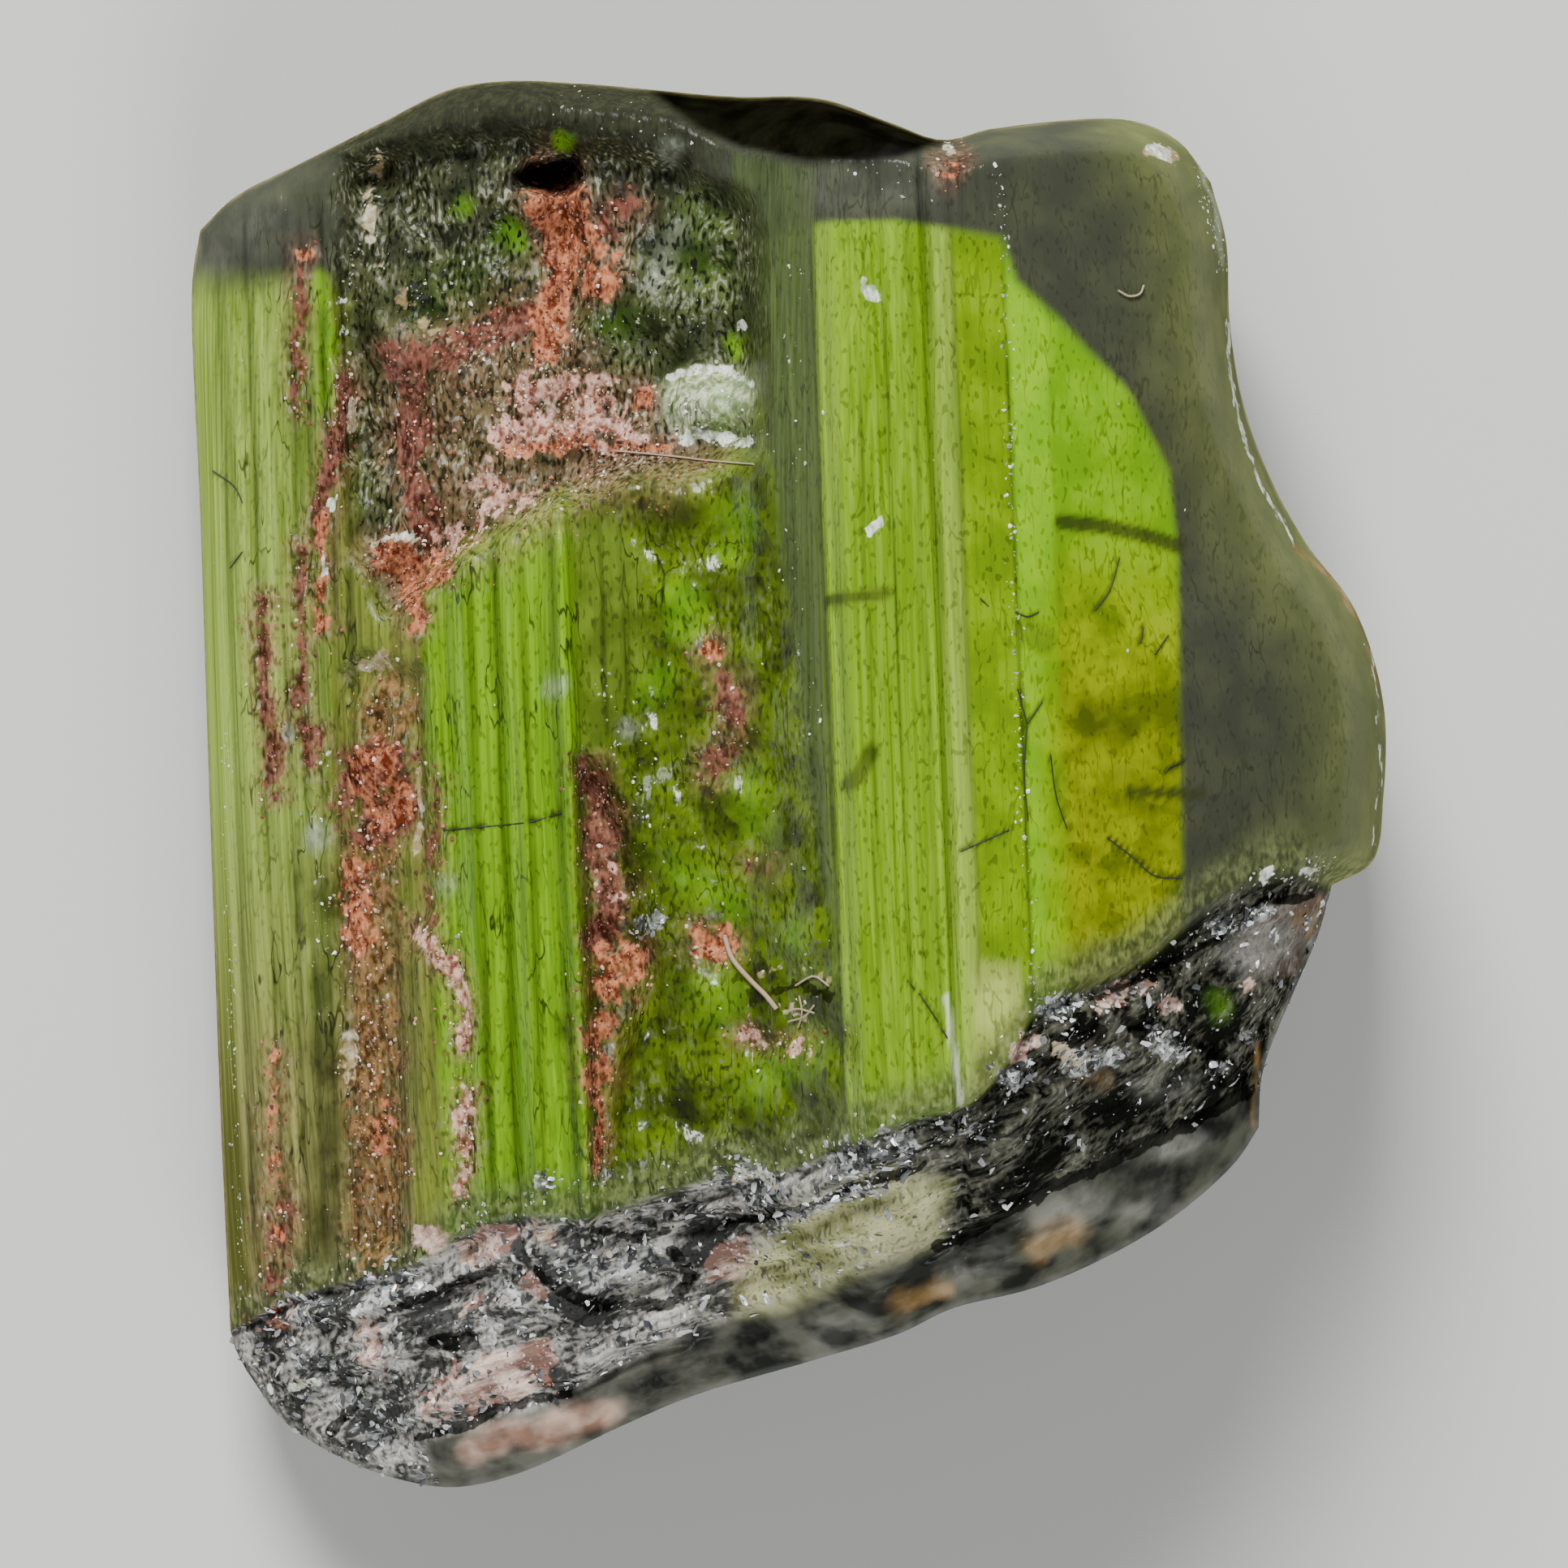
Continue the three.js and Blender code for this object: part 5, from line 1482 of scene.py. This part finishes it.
@dataclass
class Crystal:
    """The one stone: a front relief over its silhouette and an underside turned in to a flat face."""

    relief: Relief = field(default_factory=Relief)
    palette: Palette = field(default_factory=Palette)
    finish: Tourmaline = field(default_factory=Tourmaline)
    underside: Tone = Tone("", "#4c5c24", "#748840", Weave.CLOUD, 0.4, 0.26)
    underside_ribbed: float = 0.8
    left_columns: int = 12
    face_columns: int = 220
    right_columns: int = 88
    prism_rows: int = 190
    end_rows: int = 72
    underside_inset: float = 0.15
    underside_middle: tuple[float, float] = (-0.3, 0.0)
    rim_turn: float = 0.02
    underside_rings: int = 8
    flat_rings: int = 3
    calm_reach: int = 15
    rim_marks: tuple[str, ...] = (
        "rim_highlight_line", "end_rim_glint", "white", "cream", "tan", "blush", "smudge", "pale",
    )

    @staticmethod
    def eased(t: Array) -> Array:
        """Crowds steps together towards 1, where the surface rolls over."""
        return 0.5 * np.sin(t * math.pi / 2) + 0.5 * t

    def columns(self) -> Array:
        """Numbers the columns: a margin up to 1, the faces to 2, the right flank to 3."""
        left = np.linspace(0, 1, self.left_columns, endpoint=False) ** 2
        faces = np.linspace(1, 2, self.face_columns, endpoint=False)
        right = 2 + self.eased(np.linspace(0, 1, self.right_columns + 1))
        return np.concatenate([left, faces, right])

    def front(self) -> tuple[Array, dict[str, Array]]:
        """Shapes the front.

        Returns:
            The front's points in an array of rows, columns and three coordinates, and its zones.
        """
        plan = self.relief.plan
        columns = self.columns()
        end_rows = 1 - self.eased(1 - np.linspace(0, 1, self.end_rows + 1))
        prism_rows = self.eased(np.linspace(0, 1, self.prism_rows + 1))
        end = plan.grid(columns, end_rows, (plan.lower, plan.break_line, plan.end_left, plan.end_right))
        prism = plan.grid(columns, prism_rows, (plan.break_line, plan.top, plan.left, plan.right))
        prism_z = self.relief.front(prism[..., 0], prism[..., 1])
        edge = prism_z[0] - self.relief.rim(prism[0, :, 0], prism[0, :, 1])
        down = np.repeat(1 - end_rows[:, None], len(columns), axis=1)
        window = 2 * self.calm_reach + 1
        padded = np.pad(edge, self.calm_reach, mode="edge")
        calm = np.convolve(padded, np.full(window, 1 / window), mode="valid")
        end_edge = edge + smoothstep(down, 0, 0.3) * (calm - edge)
        end_z = self.relief.end(end[..., 0], end[..., 1], down, end_edge)
        xy = np.vstack([end[:-1], prism])
        z = np.vstack([end_z[:-1], prism_z])
        on_end = np.zeros_like(z)
        on_end[: self.end_rows] = smoothstep(down[:-1], 0, 0.06)
        x, y = xy[..., 0], xy[..., 1]
        distance = distance_to_line(x, y, plan.silhouette())
        return np.dstack([xy, z]), Zones(self.relief).shares(x, y, distance, on_end)

    def below(self, edge: Array) -> list[Array]:
        """Turns the silhouette in to the flat face, ring by ring.

        Args:
            edge: The points of the silhouette.

        Returns:
            The rings of the underside, from the silhouette inwards, in millimetres.
        """
        middle = np.array(self.underside_middle)
        turns = np.linspace(0, math.pi / 2, self.underside_rings + 1)
        turns[0] = self.rim_turn
        insets = list(self.underside_inset * (1 - np.cos(turns)))
        heights = list(1 - np.sin(turns[:-1])) + [0.0]
        insets += list(np.linspace(self.underside_inset, 1, self.flat_rings + 1)[1:-1])
        heights += [0.0] * (self.flat_rings - 1)
        return [
            np.column_stack([edge[:, :2] + inset * (middle - edge[:, :2]), edge[:, 2] * height])
            for inset, height in zip(insets, heights)
        ]

    def mesh(self) -> bpy.types.Mesh:
        """Builds the closed mesh with its layers.

        Returns:
            The stone's mesh, in metres.
        """
        front, zones = self.front()
        rows, width = front.shape[:2]
        number = np.arange(rows * width).reshape(rows, width)
        corners = [number[:-1, :-1], number[:-1, 1:], number[1:, 1:], number[1:, :-1]]
        quads = [np.stack(corners, axis=-1).reshape(-1, 4)]
        outer = rim = np.concatenate([number[0, :-1], number[:-1, -1], number[-1, :0:-1], number[:0:-1, 0]])
        points = [front.reshape(-1, 3)]
        rings = self.below(points[0][rim])
        count = rows * width
        for ring in rings:
            inner = count + np.arange(len(rim))
            quads.append(np.stack([outer, inner, np.roll(inner, -1), np.roll(outer, -1)], axis=-1))
            points.append(ring)
            outer = inner
            count += len(rim)
        points.append(np.array([[*self.underside_middle, 0.0]]))
        hub = [[int(a), count, int(b)] for a, b in zip(outer, np.roll(outer, -1))]
        places = np.clip(np.vstack(points) * MM, CAD_BOX[0], CAD_BOX[1])
        mesh = bpy.data.meshes.new("tourmaline_stone")
        mesh.from_pydata(places, [], np.vstack(quads).tolist() + hub)
        for name, values in self.layers(zones, rim, len(rings)).items():
            mesh.attributes.new(name, "FLOAT_COLOR", "POINT").data.foreach_set("color", values.ravel())
        for name, values in self.strewn(zones).items():
            padded = np.zeros(len(mesh.vertices), np.float32)
            padded[: values.size] = values.ravel()
            mesh.attributes.new(name, "FLOAT", "POINT").data.foreach_set("value", padded)
        mesh.polygons.foreach_set("use_smooth", [True] * len(mesh.polygons))
        slots = np.arange(len(mesh.polygons)) >= len(quads[0])
        mesh.polygons.foreach_set("material_index", slots.astype(np.int32))
        mesh.update()
        return mesh

    def layers(self, zones: dict[str, Array], rim: Array, rings: int) -> dict[str, Array]:
        """Carries the front's layers down to the underside, which fades to its own tone.

        Args:
            zones: The zones of the front.
            rim: Which points of the front are on the silhouette.
            rings: How many rings the underside has.

        Returns:
            Each layer's four numbers for every point of the stone.
        """
        front = self.palette.layers(zones)
        wall = {name: share.ravel()[rim] * (name not in self.rim_marks) for name, share in zones.items()}
        edge = self.palette.layers(wall)
        broken = wall["end"][:, None]
        tone = self.underside.numbers()
        plain = dict.fromkeys(front, np.zeros(4)) | {
            "body": np.array([*tone[LOW], 1]),
            "bloom": np.array([*tone[HIGH], 1]),
            "weave": tone[WEAVES],
            "surface": np.array([*tone[SURFACE], self.underside_ribbed, 0]),
        }
        turned = np.arange(rings) / self.underside_rings
        shares = [np.minimum(1, turn / 0.6 * (1 - broken * (turn < 1))) for turn in turned]
        stack = {}
        for name, values in front.items():
            walls = [edge[name] + share * (plain[name] - edge[name]) for share in shares]
            stack[name] = np.vstack([values, *walls, plain[name][None]]).astype(np.float32)
        return stack

    @staticmethod
    def strewn(zones: dict[str, Array]) -> dict[str, Array]:
        """Tells how thickly each sort of loose grain lies, as a share of the thickest."""
        low = np.maximum(zones["hollow"], zones["bumps"])
        rough_end = zones["end"] * (1 - zones["glass"])
        flakes = np.maximum(zones["silver"], 0.05 * zones["end"] + 0.1 * zones["end_pale"])
        flecks = [zones["fleck"], 0.03 * low, 0.02 * rough_end, 0.6 * zones["cream"], 0.3 * zones["salmon"]]
        return {
            "rusty": np.maximum(zones["rust"] ** 2, 0.4 * zones["maroon"] ** 2) + 0.08 * zones["dusty"],
            "clayey": np.maximum(zones["salmon"] ** 2, 0.4 * zones["clay"] ** 2) + 0.12 * zones["dusty"],
            "pink": zones["feldspar"],
            "silvery": flakes * (1 - zones["glass"]),
            "flecked": np.max(flecks, axis=0) * (1 - zones["chip"]) + 0.0012,
        }

    def build(self) -> bpy.types.Object:
        """Makes the stone and stands it in for its solid.

        Returns:
            The stone.
        """
        stone = bpy.data.objects.new("tourmaline_stone", self.mesh())
        bpy.context.scene.collection.objects.link(stone)
        # The front is striated, etched and crusted. The sides and underside, which the photograph
        # doesn't show, are taken as plain worn cloudy stone; fewer patterns make them quicker to render.
        stone.data.materials.append(self.finish.build("worn_striated_tourmaline", bare=False))
        stone.data.materials.append(self.finish.build("plain_worn_tourmaline", bare=True))
        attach(stone, "root")
        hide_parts(STONE_NODE)
        return stone


@dataclass(frozen=True)
class NodeShape:
    """A shape made by Geometry Nodes from a mesh, as one plain mesh on the stone."""

    name: str
    slot: str
    kept_layers: ClassVar[tuple[str, ...]] = ("position", "tint", "sharp_face", "material_index")

    def grow(self, source: bpy.types.Mesh, tree: Tree, sizes: Links) -> bpy.types.Object:
        """Runs a tree on a mesh and keeps the result.

        Args:
            source: The mesh that the tree starts from.
            tree: The tree, with named inputs.
            sizes: A value for each named input.

        Returns:
            The finished piece, riding on the stone.
        """
        piece = bpy.data.objects.new(self.name, source)
        bpy.context.scene.collection.objects.link(piece)
        modifier = piece.modifiers.new("shape", "NODES")
        modifier.node_group = tree
        for item in tree.interface.items_tree:
            if item.in_out == "INPUT" and item.name in sizes:
                modifier[item.identifier] = sizes[item.name]
        graph = bpy.context.evaluated_depsgraph_get()
        grown = piece.evaluated_get(graph)
        mesh = bpy.data.meshes.new_from_object(grown, preserve_all_data_layers=True, depsgraph=graph)
        mesh.name = self.name
        piece.modifiers.clear()
        piece.data = mesh
        for layer in [a.name for a in mesh.attributes if a.name in source.attributes and not a.is_internal]:
            if layer not in self.kept_layers and not layer.startswith("."):
                mesh.attributes.remove(mesh.attributes[layer])
        places = np.empty(3 * len(mesh.vertices), np.float32)
        mesh.vertices.foreach_get("co", places)
        inside = np.clip(places.reshape(-1, 3), CAD_BOX[0], CAD_BOX[1])
        mesh.vertices.foreach_set("co", inside.ravel())
        mesh.update()
        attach(piece, "root")
        return piece


@dataclass(frozen=True)
class Strewn(NodeShape):
    """Loose grains, each a few facets, strewn over the stone as thickly as one of its shares tells."""

    share: str
    finish: Mineral
    per_mm2: float
    smallest_mm: float
    largest_mm: float
    stretch: float = 1.2
    flatness: float = 0.7
    lean: float = 0.4
    jagged: float = 0.3
    seed: int = 1

    @staticmethod
    def tree() -> Tree:
        """Makes the tree that strews grains.

        Returns:
            The tree, with named inputs for the grains' sizes.
        """
        tree = bpy.data.node_groups.new("strewn_grains", "GeometryNodeTree")
        sockets = {"Stone": "Geometry", "Share": "String", "Density": "Float", "Smallest": "Float"}
        sockets |= {"Largest": "Float", "Stretch": "Float", "Flatness": "Float", "Lean": "Float"}
        sockets |= {"Jagged": "Float", "Seed": "Int", "Finish": "Material"}
        for name, kind in sockets.items():
            tree.interface.new_socket(name, in_out="INPUT", socket_type=f"NodeSocket{kind}")
        tree.interface.new_socket("Grains", in_out="OUTPUT", socket_type="NodeSocketGeometry")
        given = add_node(tree, "NodeGroupInput").outputs

        def draw(salt: int) -> Socket:
            """Draws a number from 0 to 1 for each grain."""
            seed = feed(tree, MATH, (given["Seed"], salt), operation="ADD")
            return feed(tree, "FunctionNodeRandomValue", {"Seed": seed}, data_type="FLOAT")

        named = "GeometryNodeInputNamedAttribute"
        share = feed(tree, named, {"Name": given["Share"]}, data_type="FLOAT")
        density = feed(tree, MATH, (share, given["Density"]), operation="MULTIPLY")
        where = {"Mesh": given["Stone"], "Density": density, "Seed": given["Seed"]}
        kind = "GeometryNodeDistributePointsOnFaces"
        spread = add_node(tree, kind, where, distribute_method="RANDOM").outputs
        growth = feed(tree, MATH, (given["Largest"], given["Smallest"]), operation="SUBTRACT")
        # Cubed, so that most grains are small.
        bulk = feed(tree, MATH, (draw(10), 3.0), operation="POWER")
        size = feed(tree, MATH, (bulk, growth, given["Smallest"]), operation="MULTIPLY_ADD")
        length = feed(tree, MATH, (size, given["Stretch"]), operation="MULTIPLY")
        thickness = feed(tree, MATH, (size, given["Flatness"]), operation="MULTIPLY")
        scale = feed(tree, "ShaderNodeCombineXYZ", (length, size, thickness))
        angles = []
        for salt in (20, 30):
            aside = feed(tree, MATH, (draw(salt), 0.5), operation="SUBTRACT")
            angles.append(feed(tree, MATH, (aside, given["Lean"]), operation="MULTIPLY"))
        angles.append(feed(tree, MATH, (draw(40), 2 * math.pi), operation="MULTIPLY"))
        spin = feed(tree, "ShaderNodeCombineXYZ", tuple(angles))
        turn = {"Rotation": spread["Rotation"], "Rotate By": spin}
        turned = feed(tree, "FunctionNodeRotateRotation", turn, rotation_space="LOCAL")
        grain = feed(tree, "GeometryNodeMeshIcoSphere", {"Radius": 0.5, "Subdivisions": 1})
        placing = {"Points": spread["Points"], "Instance": grain, "Rotation": turned, "Scale": scale}
        geometry = feed(tree, "GeometryNodeInstanceOnPoints", placing)
        for name, value in (("tint", draw(50)), ("grain_size", size)):
            entry = {"Geometry": geometry, "Name": name, "Value": value}
            kind = "GeometryNodeStoreNamedAttribute"
            geometry = feed(tree, kind, entry, data_type="FLOAT", domain="INSTANCE")
        solid = feed(tree, "GeometryNodeRealizeInstances", (geometry,))
        grain_size = feed(tree, named, {"Name": "grain_size"}, data_type="FLOAT")
        corner = feed(tree, "GeometryNodeInputIndex")
        # Each corner is pushed its own way, so no grain is round.
        reach = {"Min": (-0.5, -0.5, -0.5), "Max": (0.5, 0.5, 0.5), "ID": corner}
        jolt = feed(tree, "FunctionNodeRandomValue", reach, data_type="FLOAT_VECTOR")
        strength = feed(tree, MATH, (grain_size, given["Jagged"]), operation="MULTIPLY")
        pushed = {"Vector": jolt, "Scale": strength}
        push = feed(tree, "ShaderNodeVectorMath", pushed, operation="SCALE")
        jagged = feed(tree, "GeometryNodeSetPosition", {"Geometry": solid, "Offset": push})
        faceted = feed(tree, "GeometryNodeSetShadeSmooth", {"Geometry": jagged, "Shade Smooth": False})
        dressed = feed(tree, "GeometryNodeSetMaterial", {"Geometry": faceted, "Material": given["Finish"]})
        add_node(tree, "NodeGroupOutput", {"Grains": dressed})
        return tree

    def build(self, stone: bpy.types.Object) -> bpy.types.Object:
        """Strews the grains over the stone.

        Args:
            stone: The stone, whose mesh carries the share.

        Returns:
            The grains as one piece.
        """
        sizes = {
            "Share": self.share,
            "Density": self.per_mm2 / MM**2,
            "Smallest": self.smallest_mm * MM,
            "Largest": self.largest_mm * MM,
            "Stretch": self.stretch,
            "Flatness": self.flatness,
            "Lean": self.lean,
            "Jagged": self.jagged,
            "Seed": self.seed,
            "Finish": self.finish.build(),
        }
        return self.grow(stone.data, self.tree(), sizes)


@dataclass(frozen=True)
class Fibres(NodeShape):
    """Thin dust fibres that lie on the stone, each through its own points, in millimetres."""

    finish: Mineral
    lines: tuple[Pairs, ...]
    radius_mm: float
    lift_mm: float = 0.02
    steps: int = 18
    sides: int = 8

    @staticmethod
    def tree() -> Tree:
        """Makes the tree that draws a round fibre along each line.

        Returns:
            The tree, with named inputs for the fibre's sizes.
        """
        tree = bpy.data.node_groups.new("drawn_fibres", "GeometryNodeTree")
        sockets = {"Lines": "Geometry", "Radius": "Float", "Sides": "Int", "Finish": "Material"}
        for name, kind in sockets.items():
            tree.interface.new_socket(name, in_out="INPUT", socket_type=f"NodeSocket{kind}")
        tree.interface.new_socket("Fibres", in_out="OUTPUT", socket_type="NodeSocketGeometry")
        given = add_node(tree, "NodeGroupInput").outputs
        path = feed(tree, "GeometryNodeMeshToCurve", {"Mesh": given["Lines"]})
        circle = {"Resolution": given["Sides"], "Radius": given["Radius"]}
        ring = feed(tree, "GeometryNodeCurvePrimitiveCircle", circle)
        sweep = {"Curve": path, "Profile Curve": ring, "Fill Caps": True}
        tube = feed(tree, "GeometryNodeCurveToMesh", sweep)
        solid = feed(tree, "GeometryNodeRealizeInstances", (tube,))
        dressed = feed(tree, "GeometryNodeSetMaterial", {"Geometry": solid, "Material": given["Finish"]})
        add_node(tree, "NodeGroupOutput", {"Fibres": dressed})
        return tree

    def build(self, relief: Relief) -> bpy.types.Object:
        """Lays the fibres on the stone.

        Args:
            relief: The heights of the front.

        Returns:
            The fibres as one piece.
        """
        points = []
        edges = []
        for line in self.lines:
            plan = smooth_curve(line, self.steps)
            height = relief.front(plan[:, 0], plan[:, 1]) + self.radius_mm + self.lift_mm
            edges += [(len(points) + i, len(points) + i + 1) for i in range(self.steps)]
            points += np.column_stack([plan, height]).tolist()
        mesh = bpy.data.meshes.new("fibre_lines")
        mesh.from_pydata(np.array(points) * MM, edges, [])
        sizes = {"Radius": self.radius_mm * MM, "Sides": self.sides, "Finish": self.finish.build()}
        return self.grow(mesh, self.tree(), sizes)


DRESSING = (
    # Iron rust, grown as crumbs: dark red-brown and quite matt.
    Strewn(
        "rust_crust", "iron_clay", "rusty",
        Mineral("granular_limonite_rust", ("#4a2418", "#804834", "#b88468"), 0.85),
        per_mm2=420, smallest_mm=0.014, largest_mm=0.055, seed=11,
    ),
    # Dried clay, caked in the hollows: pale pink crumbs without any shine.
    Strewn(
        "clay_crust", "iron_clay", "clayey",
        Mineral("dried_pink_clay", ("#7c4834", "#bc8c70", "#f0dccc"), 0.8),
        per_mm2=420, smallest_mm=0.012, largest_mm=0.055, seed=12,
    ),
    # Broken grains, taken as feldspar: pink, with a dull glassy shine.
    Strewn(
        "feldspar_grains", "rock_grains", "pink",
        Mineral("pink_feldspar_grit", ("#886c64", "#c8a498", "#f4e4dc"), 0.45),
        per_mm2=90, smallest_mm=0.02, largest_mm=0.1, seed=13, flatness=0.4,
    ),
    # Thin flakes, taken as mica: they lean every way and glint silver.
    Strewn(
        "mica_flakes", "rock_grains", "silvery",
        Mineral("silvery_mica_flakes", ("#3c3e40", "#8c8e90", "#f4f6f6"), 0.25, 0.3),
        per_mm2=420, smallest_mm=0.02, largest_mm=0.1, stretch=2.2, flatness=0.25, lean=1.2, seed=14,
    ),
    # Mineral dust, taken as quartz: small white points.
    Strewn(
        "white_flecks", "rock_grains", "flecked",
        Mineral("white_quartz_dust", ("#848c74", "#c4ccb8", "#ffffff"), 0.5),
        per_mm2=150, smallest_mm=0.009, largest_mm=0.045, stretch=1.6, flatness=0.5, jagged=0.5, seed=15,
    ),
)

DUST_FIBRES = (
    # A dust fibre: pale, matt and round.
    Fibres(
        "dust_fibre", "rock_grains", Mineral("pale_dust_fibre", ("#a08a70", "#d8c8b0", "#f0e8dc"), 0.7),
        (((-0.68, -1.66), (-0.6, -1.9), (-0.4, -2.14), (-0.22, -2.32), (-0.11, -2.46)),),
        radius_mm=0.028,
    ),
    # Finer fibres, drawn about as thick as a pixel of a 1024-pixel render.
    Fibres(
        "fine_threads", "rock_grains", Mineral("fine_pale_lint", ("#a89880", "#e0d4c0", "#f4ece0"), 0.7),
        (
            ((-0.02, -2.5), (0.12, -2.46), (0.3, -2.5)),
            ((0.14, -2.32), (0.17, -2.5), (0.13, -2.66)),
            ((0.3, -2.42), (0.2, -2.54), (0.02, -2.6)),
            ((0.1, -2.2), (0.3, -2.1), (0.46, -2.2)),
            ((-1.9, 3.68), (-1.3, 3.62), (-0.8, 3.56), (-0.36, 3.52)),
            ((3.64, 5.42), (3.76, 5.36), (3.88, 5.39), (3.92, 5.48)),
        ),
        radius_mm=0.011,
    ),
    # Hairline cracks in the stone: dark olive lines, about level with its surface.
    Fibres(
        "hair_cracks", "tourmaline", Mineral("dark_hair_crack", ("#20260e", "#2c3214", "#383e1c"), 0.6),
        tuple(crack.points for crack in STROKES[Kind.CRACK] if len(crack.points) > 1),
        radius_mm=0.009, lift_mm=-0.01,
    ),
)


@dataclass(frozen=True)
class Studio:
    """A plain pale floor, soft light and the camera straight above, all in metres."""

    picture_px: int = 1932
    mm_per_px: float = 0.009
    middle_px: tuple[float, float] = (969.0, 967.0)
    lens: float = 800.0
    sensor: float = 36.0
    focus_height: float = 0.002
    floor_gap: float = 0.02 * MM
    floor_size: float = 0.6
    floor_colour: str = "#cacac8"
    floor_rough: float = 0.9
    sky_colour: str = "#e6e8ea"
    sky_strength: float = 0.25
    # Each light's name, place, size and power: a soft key from the top end, a weaker fill from the break.
    lights: tuple[tuple[str, tuple[float, float, float], float, float], ...] = (
        ("key", (-0.06, 0.3, 0.26), 0.16, 3.2),
        ("fill", (0.08, -0.3, 0.24), 0.2, 1.2),
    )

    def camera(self) -> None:
        """Sets the camera to take in the photograph's frame from straight above."""
        width = self.picture_px * self.mm_per_px * MM
        data = bpy.data.cameras.new("camera")
        data.lens = self.lens
        data.sensor_width = self.sensor
        data.sensor_fit = "HORIZONTAL"
        data.clip_start = 0.01
        data.clip_end = 10.0
        camera = bpy.data.objects.new("camera", data)
        centre = self.picture_px / 2
        x = (centre - self.middle_px[0]) * self.mm_per_px * MM
        y = (self.middle_px[1] - centre) * self.mm_per_px * MM
        camera.location = (x, y, self.focus_height + width * self.lens / self.sensor)
        bpy.context.scene.collection.objects.link(camera)
        bpy.context.scene.camera = camera

    def floor(self) -> None:
        """Lays the pale floor just below the stone."""
        half = self.floor_size / 2
        mesh = bpy.data.meshes.new("floor")
        corners = [(-half, -half), (half, -half), (half, half), (-half, half)]
        mesh.from_pydata([(x, y, -self.floor_gap) for x, y in corners], [], [(0, 1, 2, 3)])
        # Uncoated paper: pale and matt, so that it shows only the stone's soft shade.
        material = bpy.data.materials.new("pale_matt_paper")
        material.use_nodes = True
        shader = material.node_tree.nodes["Principled BSDF"]
        shader.inputs["Base Color"].default_value = linear(self.floor_colour)
        shader.inputs["Roughness"].default_value = self.floor_rough
        mesh.materials.append(material)
        floor = bpy.data.objects.new("floor", mesh)
        bpy.context.scene.collection.objects.link(floor)

    def light(self, name: str, place: tuple[float, float, float], size: float, watts: float) -> None:
        """Hangs one soft light that faces the stone.

        Args:
            name: The light's name.
            place: Where it hangs, in metres.
            size: The side of its square, in metres.
            watts: Its power.
        """
        data = bpy.data.lights.new(name, "AREA")
        data.size = size
        data.energy = watts
        light = bpy.data.objects.new(name, data)
        light.location = place
        x, y, z = -np.array(place) / np.linalg.norm(place)
        light.rotation_euler = (math.acos(-z), 0, math.atan2(y, x) - math.pi / 2)
        bpy.context.scene.collection.objects.link(light)

    def build(self) -> None:
        """Sets up the whole studio."""
        self.camera()
        self.floor()
        for light in self.lights:
            self.light(*light)
        world = bpy.data.worlds.new("studio")
        world.use_nodes = True
        background = world.node_tree.nodes["Background"]
        background.inputs["Color"].default_value = linear(self.sky_colour)
        background.inputs["Strength"].default_value = self.sky_strength
        bpy.context.scene.world = world


def main() -> None:
    """Builds the studio and the stone with its grains, and reports each piece."""
    logging.basicConfig(level=logging.INFO, format="%(message)s")
    Studio().build()
    crystal = Crystal()
    stone = crystal.build()
    pieces = [stone]
    pieces += [strewn.build(stone) for strewn in DRESSING]
    pieces += [fibres.build(crystal.relief) for fibres in DUST_FIBRES]
    for piece in pieces:
        LOG.info("%s: %d faces", piece.name, len(piece.data.polygons))


if __name__ == "__main__":
    main()
